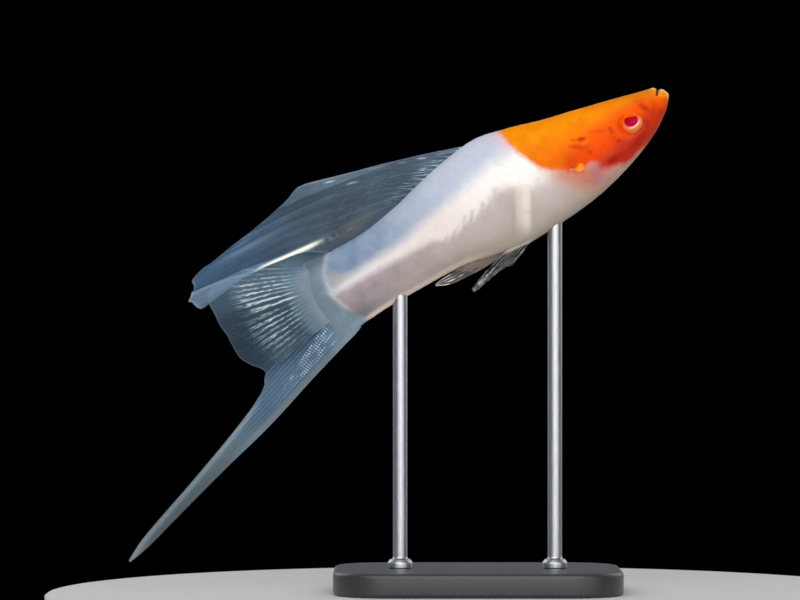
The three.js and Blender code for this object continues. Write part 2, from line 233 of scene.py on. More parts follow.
def outward(ob):
    """Turns a closed mesh's faces outwards."""
    me = ob.data
    co = np.empty(len(me.vertices) * 3, np.float32)
    me.vertices.foreach_get("co", co)
    co = co.reshape(-1, 3).astype(float)
    co -= co.mean(0)
    me.calc_loop_triangles()
    t = np.empty(len(me.loop_triangles) * 3, np.int32)
    me.loop_triangles.foreach_get("vertices", t)
    a, b, c = (co[t.reshape(-1, 3)[:, i]] for i in range(3))
    if (a * np.cross(b, c)).sum() < 0:
        me.flip_normals()
    return ob


def sheet_faces(rows, cols, offset=0, closed=False, flip=False):
    """Quads of a rows x cols grid of vertices, row by row."""
    i = np.arange(rows - 1)[:, None]
    j = np.arange(cols if closed else cols - 1)[None, :]
    k = (j + 1) % cols
    a, b = i * cols + j, i * cols + k
    q = np.stack([a, b, b + cols, a + cols], -1).reshape(-1, 4) + offset
    return q[:, ::-1] if flip else q


# ------------------------------------------------------------------ the body's form
_cols = list(zip(*BODY))
back_line, belly_line, half_line, mid_line, n_above, n_below = (curve(list(zip(_cols[0], c))) for c in _cols[1:])


def section(s):
    s = np.asarray(s, float)
    t = np.clip((s - (SNOUT - ROUND)) / ROUND, 0, 1)
    close = np.sqrt(1 - t * t)
    mid = mid_line(s)
    return mid, mid + (back_line(s) - mid) * close, mid + (belly_line(s) - mid) * close, half_line(s) * close, n_above(s), n_below(s)


def surface(s, angle):
    mid, top, bottom, half, na, nb = section(s)
    c, d = np.cos(angle), np.sin(angle)
    n = np.where(d >= 0, na, nb)
    w = half * np.sign(c) * np.abs(c) ** (2 / n)
    up = np.sign(d) * np.abs(d) ** (2 / n)
    h = mid + np.where(up >= 0, up * (top - mid), -up * (bottom - mid))
    return h, w


def half_at(s, h):
    mid, top, bottom, half, na, nb = section(s)
    up = h >= mid
    n = np.where(up, na, nb)
    q = np.clip(np.abs(h - mid) / np.maximum(np.where(up, top - mid, mid - bottom), 1e-6), 0, 1)
    return half * np.maximum(0, 1 - q**n) ** (1 / n)


def surface_frame(s, angle):
    """Places (s, h, w) on the body and unit normals there."""
    e = 0.03
    s = np.asarray(s, float)
    h, w = surface(s, angle)
    h1, w1 = surface(s, angle + 0.004)
    h0, w0 = surface(s, angle - 0.004)
    sa, sb = np.minimum(s + e, SNOUT - 1e-4), s - e
    ha, wa = surface(sa, angle)
    hb, wb = surface(sb, angle)
    ds = np.stack([sa - sb, ha - hb, wa - wb], -1)
    da = np.stack([np.zeros_like(h), h1 - h0, w1 - w0], -1)
    n = np.cross(ds, da)
    size = np.linalg.norm(n, axis=-1, keepdims=True)
    out = np.stack([np.zeros_like(h), np.sin(angle) * np.ones_like(h), np.cos(angle) * np.ones_like(h)], -1)
    n = np.where(size > 1e-9, n / np.maximum(size, 1e-9), out)
    n *= np.sign((n * out).sum(-1, keepdims=True) + 1e-9)
    return np.stack([s * np.ones_like(h), h, w], -1), n


def tail_edge(h):
    """Where the scales end at the tail, at a height."""
    return -0.25 + 0.075 * (h + 0.6) ** 2


# the rear edge of the gill cover, from the nape round to the throat
GILL = [(50.6, 3.2), (48.6, 2.7), (46.9, 1.6), (45.7, 0.0), (45.1, -1.8), (45.1, -3.4), (45.7, -5.0), (47.1, -6.4), (49.3, -7.2), (52.2, -6.7), (55.4, -5.7)]
gill_s = curve([(h, s) for s, h in GILL[:8]])


def scaled(s, h, wide=0.7):
    """1 where the body carries scales, 0 on the face, gill cover and tail root, passing over within some mm."""
    front = gill_s(np.clip(h, -6.4, 3.2)) + np.where(h > 1.6, 3.2 * smooth(h, 2.2, 4.5), 0)
    return smooth(s, front + 0.2, front + 0.2 - wide) * smooth(s, tail_edge(h) - 0.3, tail_edge(h) + 0.5)


# ------------------------------------------------------------------ markings, with some painted light and shade, the same for skin and scales
CAP_EDGE = [(37.3, 10.5), (37.55, 8.6), (37.95, 6.4), (38.35, 4.4), (39.5, 2.2), (40.4, 0.2), (41.8, -1.0), (43.7, -2.1), (45.0, -3.3), (46.1, -3.9),
            (47.1, -3.3), (48.2, -3.1), (48.8, -3.7), (49.1, -4.8), (50.7, -5.8), (53.6, -6.15), (56.2, -5.75), (58.4, -5.3), (60.6, -4.6), (62.5, -3.9), (66.5, -1.2)]
PEARL_LOW = curve([(-2, -0.75), (0, -0.8), (10, -0.95), (14, -1.15), (18, -1.15), (21, -2.1), (24, -1.7), (27, -1.3), (30, -0.6), (32.5, 0.3), (34, -0.05), (35.5, -1.0),
                   (37.5, -2.1), (39, -2.3), (41, -2.4), (44, -3.0)])
PEARL_HIGH = curve([(-2, -0.8), (0, -0.7), (4, -0.25), (8, 0.0), (14, 0.3), (20, 1.6), (26, 2.3), (32, 3.1), (40, 4.3)])
# from, to, width, strength: soft shades that cut into the pearly band's lower edge
NOTCHES = [((24.4, -2.2), (25.5, -0.6), 0.30, 0.50), ((26.0, -2.1), (27.0, -0.5), 0.30, 0.70), ((28.0, -2.1), (29.2, -0.2), 0.34, 0.70),
           ((29.7, -1.6), (30.6, 0.1), 0.30, 0.40), ((31.0, -1.3), (31.9, 0.8), 0.42, 0.50), ((38.2, -2.6), (39.1, -1.2), 0.30, 0.35)]
AMBER_LOW = curve([(38, -4.5), (43, -2.4), (45, -1.2), (47, 0.4), (50, 1.2), (54, 1.5), (57, 1.8), (60, 1.9), (62, 1.2), (66, 0.0)])


def marks_at(s, h, w):
    """The masks that the skin's material is mixed from. The two sides are alike."""
    mid, top, bottom, half, _, _ = section(np.clip(s, FLESH_END, SNOUT))
    low_side = np.clip((mid - h) / np.maximum(mid - bottom, 0.3), 0, 1)
    d, side, _ = along(s, h, CAP_EDGE)
    cap = np.clip(d * side, -4, 4)  # mm, plus inside the orange cap
    finger = 0.5 + 0.5 * np.cos(2 * math.pi * (s - 1.28 * h + 0.35 * np.sin(0.9 * s)) / 1.9)
    streak = smooth(s, 18.5, 22.5) * smooth(s, 33.5, 29)
    ahead = smooth(s, 22, 34)
    # pearl: the pearly band along the flank, its own silvery white with a painted sheen
    pearl = smooth((h - PEARL_LOW(s) - 0.6 * (0.40 - finger) * streak) / (1.15 + 0.75 * smooth(s, 31, 36)), -0.95, 0.60)
    for a, b, width, much in NOTCHES:
        r, _, _ = along(s, h, [a, b])
        pearl = pearl * (1 - much * bell(r, width))
    # bright: the brightest part of the pearly band, a painted highlight
    bright = smooth(s, 19, 33) * smooth(h, PEARL_LOW(s) - 0.6, PEARL_LOW(s) + 1.8)
    back = smooth(h, PEARL_HIGH(s) - 0.6 - 0.3 * ahead, PEARL_HIGH(s) + 2.0 + 1.8 * ahead)
    end = smooth(s - tail_edge(h), 0.9, -0.9)
    deep = smooth(h - AMBER_LOW(s), 1.3, -1.2)
    # cheek and jaw are coral under a line that rises to the mouth, with dark red blots; shade is painted shade, a
    # deeper red in the hollows of the head, with some of the cap's own darker mottling
    r, side, _ = along(s, h, [(49.0, -3.5), (51.0, -3.4), (53.0, -2.8), (55.0, -2.3), (57.3, -2.7), (58.8, -2.2), (59.6, -0.9), (60.7, -0.2), (62.0, -0.5), (63.6, -1.6)])
    red = smooth(r * side, 0.70, -0.70)
    wine = 1.00 * bell(np.hypot((s - 51.7) / 2.1, (h + 4.65) / 0.85), 1.0)
    wine = np.maximum(wine, 1.00 * bell(np.hypot((s - 56.9) / 2.3, (h + 3.95 - 0.30 * (s - 56.9)) / 0.80), 1.0))
    wine = np.maximum(wine, 1.00 * bell(np.hypot((s - 59.30 - 0.12 * (h + 2.1)) / 0.55, (h + 2.1) / 1.05), 1.0))
    shade = 0.95 * bell(np.hypot((s - 60.45 + 0.32 * (h - 0.1)) / 0.60, (h - 0.1) / 1.40), 1.0)
    shade = np.maximum(shade, 0.45 * bell(np.hypot((s - 45.2) / 1.4, (h + 0.9) / 1.4), 1.0))
    shade = np.maximum(shade, 0.45 * bell(np.hypot((s - 48.3) / 0.9, (h + 0.5) / 0.8), 1.0))
    shade = np.maximum(shade, 0.40 * bell(np.hypot((s - 62.0) / 0.6, (h + 0.0) / 0.9), 1.0))
    shade = np.maximum(shade, 0.35 * bell(np.hypot((s - 53.4) / 0.7, (h + 1.7) / 0.9), 1.0))
    shade = np.maximum(shade, 0.35 * bell(np.hypot((s - 55.2) / 0.6, (h + 0.7) / 1.1), 1.0))
    r, _, _ = along(s, h, [(48.9, -3.7), (48.3, -5.0), (47.7, -6.3)])
    violet = bell(r, 1.0)
    flush = 1 - 0.9 * bell(np.hypot((s - 43.6) / 3.0, (h + 3.0 + 0.55 * (s - 43.6)) / 1.7), 1.0)
    flush = 1 - flush * (1 - bell(np.hypot((s - 47.6) / 3.9, (h + 5.0) / 2.7), 1.0))
    flush = np.maximum(flush, 0.8 * smooth(cap, -3.0, 0.0) * smooth(h, 3.6, 6.5))
    # golden spots by the pectoral fin's root and on the lip, and a painted highlight on the gill cover below its dark
    # slit
    gold = np.maximum(patch(s, h, 46.0, -3.25, 0.75, 0.50, -15), patch(s, h, 46.35, -2.85, 0.50, 0.42))
    gold = np.maximum(gold, 0.55 * patch(s, h, 64.2, 0.9, 1.2, 0.75, -35))
    gold = np.maximum(gold, 0.4 * bell(np.hypot((s - 48.9) / 0.7, (h - 0.1) / 0.3), 1.0))
    # a painted highlight by the pectoral fin's root, a pale band round the snout's front, and a painted highlight on
    # the upper lip's rounded end
    cream = 0.75 * patch(s, h, 44.95, -2.75, 0.42, 0.20, -35)
    r, _, f = along(s, h, [(64.1, 1.75), (64.7, 1.45), (65.1, 0.95), (65.25, 0.35), (65.0, -0.4), (64.5, -1.1)])
    cream = np.maximum(cream, bell(r, 0.34) * smooth(f, -0.05, 0.15) * smooth(f, 1.1, 0.7))
    r, _, f = along(s, h, [(62.6, 2.75), (63.3, 2.45), (63.8, 1.95), (63.85, 1.6)])
    cream = np.maximum(cream, 0.8 * bell(r, 0.28) * smooth(f, -0.05, 0.5))
    jaw = smooth(h - bottom, 0.75, 0.10) * smooth(s, 48.0, 54.0)
    # a peach band along the belly's lower edge: its own warm colour brightened by painted light from below
    tan = smooth(low_side, 0.83, 0.96) * smooth(s, 29, 22)
    wedge = smooth(h, -0.35, 0.5) * smooth(h - (2.9 - 0.62 * (s - 0.7)), 1.3, -1.3) * smooth(s - tail_edge(h), 0.0, 1.2) * smooth(s, 6.5, 2.0)
    arc = bell(s - tail_edge(h) - 0.35, 0.28) * smooth(h, -5.6, -3.5) * smooth(h, 3.0, 1.2)
    return dict(cap=cap, pearl=pearl, bright=bright, back=back * (1 - end), deep=deep, red=red, wine=wine, shade=shade, violet=violet, flush=np.clip(flush, 0, 1),
                gold=gold, cream=cream, jaw=jaw, end=end, tan=tan, wedge=wedge, arc=arc, low=low_side, forward=s / 65, height=h / 10)


# ------------------------------------------------------------------ relief of the head
LIP = dict(s=63.35, h=1.1, turn=math.radians(49))  # the corner of the mouth and the slope of the slit

# line of points, depth, width, darkness: grooves of the head; darkness is the shade painted into each groove
GROOVES = [
    ([(48.0, 0.92), (48.4, 0.95), (48.8, 0.84), (49.4, 0.68)], 0.04, 0.30, 0.90),
    ([(48.2, 1.15), (48.6, 1.0), (49.0, 0.98)], 0.02, 0.20, 0.45),
    ([(46.9, 1.75), (47.4, 1.45), (47.9, 1.1), (48.3, 0.95)], 0.02, 0.20, 0.50),
    ([(45.3, 1.35), (46.1, 0.90), (46.9, 0.45), (47.6, 0.0), (48.2, -0.5)], 0.03, 0.36, 0.45),
    ([(46.8, 0.75), (47.1, 0.3), (47.2, -0.2)], 0.02, 0.34, 0.30),
    ([(48.85, -1.15), (48.6, -1.65), (48.4, -1.95)], 0.02, 0.22, 0.50),
    ([(49.25, -1.35), (48.9, -1.95), (48.6, -2.35)], 0.02, 0.22, 0.45),
    ([(49.7, 1.40), (50.8, 1.00), (52.0, 0.55), (53.2, 0.0)], 0.03, 0.28, 0.22),
    ([(53.55, 0.55), (53.65, 0.0), (53.67, -0.45), (53.55, -1.00)], 0.05, 0.27, 0.75),
    ([(44.1, -1.3), (44.4, -2.0), (44.8, -2.6), (45.3, -2.95)], 0.07, 0.28, 0.90),
    ([(53.4, 1.3), (52.2, 0.0), (51.5, -1.9), (51.7, -3.7), (53.1, -5.0), (55.6, -5.2)], 0.03, 0.45, 0.02),
    ([(56.0, -3.15), (57.8, -3.55), (59.6, -2.9)], 0.04, 0.40, 0.05),
    ([(61.9, 3.2), (62.15, 2.4), (62.5, 1.6), (62.9, 0.8)], 0.04, 0.24, 0.04),
    ([(63.2, 0.85), (62.3, -0.2), (61.4, -1.2), (60.7, -2.4)], 0.04, 0.30, 0.05),
    ([(60.0, 1.15), (60.2, 0.5), (60.4, -0.1), (60.55, -0.7)], 0.03, 0.30, 0.25),
]
# place, height, size, depth, darkness: pores and nostrils; darkness is the shade painted into each pit
PORES = [(53.90, -2.45, 0.32, 0.05, 1.0), (55.0, 0.9, 0.14, 0.03, 0.04), (60.75, 1.60, 0.20, 0.14, 0.25), (59.65, 1.90, 0.16, 0.09, 0.20)]


def orbit_distance(s, h):
    """1 at the edge of the opening for the eye: an oval whose top the upper lid cuts off along a slope."""
    oval = np.hypot((s - ORBIT["s"]) / ORBIT["long"], (h - ORBIT["h"]) / ORBIT["tall"])
    lid = 1 + (h - ORBIT["lid_h"] + 0.33 - ORBIT["lid_slope"] * (s - ORBIT["s"])) / 1.5
    return (np.maximum(oval, 0) ** 7 + np.clip(lid, 0, None) ** 7) ** (1 / 7)


def eyeball_over_skin(s, h):
    """How far the eyeball's surface stands out from the plain form beside it, in mm."""
    q = ((s - EYE["s"]) / EYE["radius"]) ** 2 + ((h - EYE["h"]) / (EYE["radius"] * EYE["tall"])) ** 2
    middle = float(half_at(EYE["s"], EYE["h"])) + EYE["proud"] - EYE["deep"]
    return middle + EYE["deep"] * np.sqrt(np.clip(1 - q, 0, 1)) - half_at(s, h)


def head_relief(s, h, w):
    """Height of the skin's features over the plain form, in mm, and the shade painted into their creases, pits and
    slit.
    """
    flank = smooth(np.abs(w), 0.9, 2.0)
    d = np.zeros_like(s)
    dark = np.zeros_like(s)
    for points, depth, width, shade in GROOVES:
        r, _, f = along(s, h, points)
        fade = smooth(f, 0.0, 0.15) * smooth(f, 1.0, 0.82) * flank
        d -= depth * bell(r, width) * fade
        d += 0.35 * depth * bell(r - 2.0 * width, width) * fade
        dark += shade * bell(r, width * 1.1) * fade
    for a, b, size, depth, shade in PORES:
        r = np.hypot((s - a) / 1.25, h - b)
        side = smooth(np.abs(w), 0.5, 1.0)
        d += (-depth * bell(r, size) + 0.3 * depth * bell(r - 1.8 * size, 0.55 * size)) * side
        dark += shade * bell(r, size) * side
    # the gill cover's free edge stands a little proud of the shoulder
    r, side, f = along(s, h, GILL)
    lift = smooth(f, 0.0, 0.1) * smooth(f, 1.0, 0.8) * flank
    d += lift * (0.030 - 0.040 * smooth(r * side, 0.6, -0.6)) * np.exp(-r / 1.2)
    # soft folds of the throat
    below = smooth(h, -3.4, -5.0) * smooth(s, 47.5, 51) * smooth(s, 62.5, 60) * smooth(np.abs(w), 2.9, 2.2)
    d -= 0.05 * below * (0.5 + 0.5 * np.cos(2 * math.pi * np.abs(w) / 0.75))
    # cheek, gill cover and the bone before the eye swell a little
    d += 0.15 * bell(np.hypot((s - 54.6) / 2.4, (h + 3.0) / 1.6), 1.0) * flank
    d += 0.10 * bell(np.hypot((s - 48.8) / 2.4, (h + 2.6) / 2.8), 1.0) * flank
    d += 0.08 * bell(np.hypot((s - 60.4) / 1.0, (h - 0.2) / 1.2), 1.0) * flank
    # the lips: the upper rounds off to the slit, the lower starts below it and swells forward
    c, e = math.cos(LIP["turn"]), math.sin(LIP["turn"])
    t = (s - LIP["s"]) * c + (h - LIP["h"]) * e  # mm up the slit from its corner
    q = (s - LIP["s"]) * e - (h - LIP["h"]) * c  # mm from the slit, plus on the lower lip
    on = smooth(t, -0.10, 0.55)
    d += on * np.where(q < 0, -0.17 * np.exp(-((q / 0.40) ** 2)), -0.22 * bell(q - 0.16, 0.24) + 0.15 * bell(q - 0.9, 0.45))
    d -= 0.38 * bell(q, 0.11) * smooth(t, -0.25, 0.1)
    d += 0.10 * bell(q + 0.75, 0.40) * smooth(t, -1.2, 0.3)
    # the slit of the mouth is painted dark, as its shade
    dark += 1.4 * bell(q, 0.18 + 0.10 * np.clip(t, 0, 1.2)) * smooth(t, -0.40, 0.05)
    # the eye's opening: its rim meets the eyeball, and the skin dives under it
    o = orbit_distance(s, h)
    upper = smooth(h, -1.0, 0.0)
    eye_side = smooth(np.abs(w), 1.2, 2.4)
    near = smooth(o, 1.75, 1.0) * eye_side
    d = d * (1 - near) + (eyeball_over_skin(s, h) - 0.02) * near * smooth(o, 1.75, 1.05)
    d += (0.03 + 0.05 * upper) * bell(o - 1.15, 0.16) * eye_side
    d -= 1.1 * smooth(o, 0.97, 0.82) * eye_side
    # a thin dark line painted along the upper lid's edge is the shade under it
    dark = dark * (1 - eye_side * smooth(o, 1.3, 1.1)) + 0.45 * upper * bell(o - 0.99, 0.07) * eye_side
    return d, np.clip(dark, 0, 1)


def body_uv(s, girth):
    """Unwrap of the skin: along the body, and round it from the back over the left side, the belly and the right side."""
    return np.stack([(s - FLESH_END) / (SNOUT - FLESH_END) * 0.96 + 0.02, girth * 0.96 + 0.02], -1)


def make_skin():
    n = 344
    t = np.linspace(0, math.pi / 2, 48)
    s = np.concatenate([
        np.linspace(FLESH_END, 2, 24, endpoint=False),
        np.linspace(2, 44.2, 82, endpoint=False),
        np.linspace(44.2, 55.3, 60, endpoint=False),
        np.linspace(55.3, 60, 46, endpoint=False),
        np.linspace(60, SNOUT - ROUND, 30, endpoint=False),
        SNOUT - ROUND + ROUND * np.sin(t)[:-1],
    ])
    a = np.arange(n) / n * 2 * math.pi
    A, R = np.meshgrid(a, s)
    P, N = surface_frame(R, A)
    S, H, W = P[..., 0], P[..., 1], P[..., 2]
    d, dark = head_relief(S, H, W)
    face = smooth(S, 43.0, 44.6)
    d = d * face - 0.135 * scaled(S, H, 1.9) - 0.02
    dark = dark * face
    P = P + N * d[..., None]
    # the fleshy end of the tail bows back in the middle
    tip = smooth(R, 3.5, FLESH_END)
    P[..., 0] += 0.030 * (H + 1.2) ** 2 * tip
    P[..., 1] = np.where(tip > 0, np.clip(P[..., 1], belly_line(P[..., 0]) + 0.14, back_line(P[..., 0]) - 0.14), P[..., 1])
    marks = marks_at(P[..., 0], P[..., 1], P[..., 2])
    marks.update(dark=dark, rim=np.zeros_like(dark), tone=np.zeros_like(dark))
    co = place(P[..., 0], P[..., 1], P[..., 2]).reshape(-1, 3)
    quads = sheet_faces(len(s), n, closed=True)
    co = np.vstack([co, place(FLESH_END, section(FLESH_END)[0], 0.0), place(SNOUT, section(SNOUT)[0], 0.0)])
    last = (len(s) - 1) * n
    j = np.arange(n)
    k = (j + 1) % n
    tail, tip_id = len(co) - 2, len(co) - 1
    tris = np.vstack([np.stack([np.full(n, tail), k, j], -1), np.stack([np.full(n, tip_id), last + j, last + k], -1)])
    marks = {m: np.concatenate([v.ravel(), v[[0, -1], 0]]) for m, v in marks.items()}
    girth = (0.25 - A / (2 * math.pi)) % 1.0
    uv = np.vstack([body_uv(R, girth).reshape(-1, 2), [[0.015, 0.5], [0.985, 0.5]]])
    return new_mesh("skin", co, quads, tris, uv, marks)


# ------------------------------------------------------------------ scales
def make_scales(side):
    """Overlapping plates over one side of the body, in rows from the gill cover to the tail."""
    # even steps round the body instead of even angles
    ss = np.linspace(-2, 56, 117)
    aa = np.linspace(math.pi / 2, -math.pi / 2, 241)
    hh, ww = surface(ss[:, None], aa[None, :])
    arc = np.concatenate([np.zeros((len(ss), 1)), np.cumsum(np.hypot(np.diff(hh, axis=1), np.diff(ww, axis=1)), axis=1)], 1)
    girth = np.linspace(0, 1, 201)
    table = np.array([np.interp(girth * arc[i, -1], arc[i], aa) for i in range(len(ss))])

    def angle_at(s, g):
        x = np.clip((s - ss[0]) / (ss[1] - ss[0]), 0, len(ss) - 1.001)
        y = np.clip(np.where(g > 1, 2 - g, np.abs(g)) * 200, 0, 199.999)
        i, j = x.astype(int), y.astype(int)
        fx, fy = x - i, y - j
        a = (table[i, j] * (1 - fx) + table[i + 1, j] * fx) * (1 - fy) + (table[i, j + 1] * (1 - fx) + table[i + 1, j + 1] * fx) * fy
        return np.where((g < 0) | (g > 1), math.pi - a, a)  # over the ridge or keel to the other side

    rows = 10
    a = np.array([-1, -0.95, -0.8, -0.55, -0.27, 0, 0.27, 0.55, 0.8, 0.95, 1])
    b = np.array([0, 0.12, 0.28, 0.44, 0.58, 0.71, 0.83, 0.92, 0.97, 1])
    na, nb = len(a), len(b)
    B, Aa = np.meshgrid(b, a, indexing="ij")
    shape = np.where(B > 0.40, np.sqrt(np.clip(1 - ((B - 0.40) / 0.61) ** 2, 0, 1)), 1 - 0.3 * ((0.40 - B) / 0.40) ** 2)
    m = na * nb
    face = sheet_faces(nb, na)
    ring = np.concatenate([np.arange(na), np.arange(2, nb + 1) * na - 1, (nb - 1) * na + np.arange(na - 2, -1, -1), np.arange(nb - 2, 0, -1) * na])
    wall = np.stack([ring, np.roll(ring, -1), np.roll(ring, -1) + m, ring + m], -1)
    solid = np.vstack([face[:, ::-1], face + m, wall])
    rng = np.random.default_rng(7)
    on_edge = np.zeros(2 * m, int)
    on_edge[ring], on_edge[ring + m] = 1, 2
    cos, faces, uvs, all_marks = [], [], [], []
    count = 0
    for j in range(rows + 1):
        if side < 0 and j in (0, rows):
            continue  # the rows on the ridge and the keel belong to the left piece
        s = -1.2 + (0.72 if j % 2 else 0.0)
        while s < 54.5:
            pitch = 1.42 + 0.5 * min(1, max(0, (s - 2) / 34))
            s += pitch
            g0 = j / rows
            h0, _ = surface(np.array(s - pitch), angle_at(np.array(s - pitch), np.array(g0)))
            tone, tilt = rng.uniform(-1, 1), rng.uniform(-0.006, 0.006)
            if scaled(np.array(s - pitch), h0) < 0.55:
                continue
            rear, length = s - 1.55 * pitch, pitch * 1.72
            sg = rear + (1 - B) * length
            gg = g0 + Aa * shape * 0.60 / rows
            ang = angle_at(sg, gg)
            P, N = surface_frame(sg, ang)
            lift = -0.100 + 0.060 * B**1.1 + 0.010 * (1 - Aa**2) + tilt * B
            top = P + N * lift[..., None]
            under = P + N * (lift - 0.026)[..., None]
            marks = marks_at(P[..., 0], P[..., 1], P[..., 2])
            marks.update(rim=smooth(B, 0.80, 1.0) * np.ones_like(B), dark=np.zeros_like(B), tone=np.full_like(B, tone))
            V = np.concatenate([top.reshape(-1, 3), under.reshape(-1, 3)])
            if side < 0:
                V[:, 2] *= -1
            cos.append(place(V[:, 0], V[:, 1], V[:, 2]))
            faces.append((solid if side > 0 else solid[:, ::-1]) + count)
            count += 2 * m
            turn = 0.5 * g0 if side > 0 else 1 - 0.5 * g0
            centre = body_uv(rear + 0.6 * length, min(0.997, max(0.003, turn)))
            uv = centre + np.stack([(0.5 - B) * 0.003, Aa * shape * 0.0015], -1).reshape(-1, 2)
            uvs.append(np.concatenate([uv, uv]))
            all_marks.append({k: np.concatenate([v.ravel(), v.ravel()]) for k, v in marks.items()})
    marks = {k: np.concatenate([x[k] for x in all_marks]) for k in all_marks[0]}
    return new_mesh("scales_left" if side > 0 else "scales_right", np.concatenate(cos), np.concatenate(faces), (), np.concatenate(uvs), marks,
                    np.tile(on_edge, len(cos)))


# ------------------------------------------------------------------ fins
def coons(first, last, root, margin):
    """A fin's surface between its first and last ray: u across the rays, v from the root out."""
    ends = [f(np.array([0.0, 1.0])) for f in (root, margin)]

    def at(U, V):
        u, v = U[..., None], V[..., None]
        return ((1 - u) * first(V) + u * last(V) + (1 - v) * root(U) + v * margin(U)
                - ((1 - u) * (1 - v) * ends[0][0] + u * (1 - v) * ends[0][1] + (1 - u) * v * ends[1][0] + u * v * ends[1][1]))
    return at


def swept(first, last, root, margin, leave, reach):
    """As coons, but the rays leave the root and reach the margin at slopes of their own: rise in h for each mm towards the tail."""
    def ray(U, V):
        p, q = root(U), margin(U)
        size = np.linalg.norm(q - p, axis=-1, keepdims=True)
        ways = []
        for slope in (leave(U), reach(U)):
            way = np.stack([-np.ones_like(slope), slope], -1)
            ways.append(way / np.linalg.norm(way, axis=-1, keepdims=True) * size)
        v = V[..., None]
        return ((2 * v**3 - 3 * v**2 + 1) * p + (v**3 - 2 * v**2 + v) * ways[0] + (3 * v**2 - 2 * v**3) * q + (v**3 - v**2) * ways[1])

    def at(U, V):
        zero, one = np.zeros_like(U), np.ones_like(U)
        u = U[..., None]
        return ray(U, V) + (1 - u) ** 5 * (first(V) - ray(zero, V)) + u**5 * (last(V) - ray(one, V))
    return at


def ray_field(U, V, count, fork=0.42, fork2=0.68, spread=0.25, wide=0.17, thin=0.10, seed=1, dashes=26):
    """Fin rays that fork twice: how much each place lies on one (0..1), and how bright that branch is there (0..1)."""
    x = U * count
    k = np.clip(np.floor(x), 0, count - 1).astype(int)
    f = x - k - 0.5
    start = fork + 0.10 * (row_noise(seed, count, 2)(k, 0.3 * np.ones_like(U)) - 0.5)
    b1 = spread * smooth((V - start) / (0.98 - start), 0, 1)
    b2 = 0.5 * spread * smooth(V, fork2, 1.02)
    g = np.abs(f) - b1
    d = np.abs(np.abs(g) - b2)
    branch = 4 * k + 2 * (f > 0) + (g > 0)
    width = wide + (thin - wide) * smooth(V, 0.1, 0.9)
    dash = row_noise(seed + 1, 4 * count, dashes)(branch, V)
    slow = row_noise(seed + 2, count, 5)(k, V)
    return bell(d, width), np.clip(0.25 + 0.75 * smooth(dash, 0.15, 0.75), 0, 1) * (0.45 + 0.55 * smooth(slow, 0.1, 0.8))


def make_fin(name, at, lean, thick, paint, nu, nv):
    """A closed thin shell: at gives (s, h), lean gives w, thick the full thickness, paint the marks."""
    u, v = np.linspace(0, 1, nu), np.linspace(0, 1, nv)
    U, V = np.meshgrid(u, v, indexing="ij")
    P = at(U, V)
    S, H = P[..., 0], P[..., 1]
    W, T = lean(U, V, S, H), thick(U, V, S, H)
    m = nu * nv
    face = sheet_faces(nu, nv)
    edge = np.concatenate([np.arange(nv), np.arange(2, nu + 1) * nv - 1, (nu - 1) * nv + np.arange(nv - 2, -1, -1), np.arange(nu - 2, 0, -1) * nv])
    wall = np.stack([edge, np.roll(edge, -1), np.roll(edge, -1) + m, edge + m], -1)
    quads = np.vstack([face, face[:, ::-1] + m, wall[:, ::-1]])
    V3 = np.concatenate([np.stack([S, H, W + x * T / 2], -1).reshape(-1, 3) for x in (-1, 1)])
    marks = {k: np.concatenate([np.broadcast_to(x, U.shape).ravel()] * 2) for k, x in paint(U, V, S, H).items()}
    uv = np.stack([U * 0.46 + 0.02, V * 0.94 + 0.03], -1).reshape(-1, 2)
    return new_mesh(name, place(V3[:, 0], V3[:, 1], V3[:, 2]), quads, (), np.concatenate([uv, uv + [0.5, 0.0]]), marks)


def fin_marks(like, **marks):
    """All the marks that the fins' material reads; those not given are 0."""
    return {k: marks.get(k, np.zeros_like(like)) for k in ("ray", "fold", "rim", "root", "warm", "veil", "cloud")}


# the tall dorsal fin, folded back over the tail
dorsal_first = path([(31.2, 9.7), (26, 11.45), (22, 12.66), (18, 13.85), (14, 14.9), (10, 16.0), (7, 16.85), (5.2, 17.3), (3.9, 17.42)])
DORSAL_LOWER = [(3.8, 5.5), (1.9, 6.05), (0.4, 7.0), (-1.2, 7.75), (-4.2, 8.25), (-8.0, 8.72), (-11.5, 8.80), (-15, 8.4), (-19.2, 7.85)]
dorsal_last = path([(17.2, 6.6), (12, 5.8), (7.5, 5.35)] + DORSAL_LOWER)
DORSAL_TIP = [(-19.2, 12.1), (-19.4, 11.4), (-20.1, 11.0), (-20.65, 10.45), (-21.26, 9.97), (-20.85, 9.6), (-20.65, 8.8), (-20.35, 8.15), (-19.9, 7.88), (-19.2, 7.85)]
dorsal_margin = path([(3.9, 17.45), (3.1, 17.25), (1.2, 16.5), (-2.0, 15.75), (-6.0, 15.05), (-11.5, 14.3), (-14.6, 13.75), (-16.3, 13.65), (-18.9, 12.85), (-19.15, 12.65)] + DORSAL_TIP)


def dorsal_root(u):
    s = 31.2 - 14.0 * np.asarray(u, float)
    return np.stack([s, back_line(s) - 0.35], -1)


dorsal_at = swept(dorsal_first, dorsal_last, dorsal_root, dorsal_margin,
                  curve([(0, 0.36), (0.25, 0.50), (0.6, 0.50), (0.85, 0.20), (1, -0.14)]), curve([(0, 0.22), (0.25, 0.08), (0.6, 0.0), (0.85, -0.06), (1, -0.15)]))


def dorsal_lean(U, V, S, H):
    w = -2.7 * V**0.85 - 0.55 * np.sin(math.pi * 2.6 * U + 0.6) * V * V
    w += 0.22 * np.sin(2 * math.pi * (2.6 * U + 0.25 * V) + 1.0) * smooth(V, 0.15, 0.9)
    return w + 0.07 * np.sin(2 * math.pi * (6.3 * U - 0.3 * V)) * smooth(V, 0.3, 1.0)
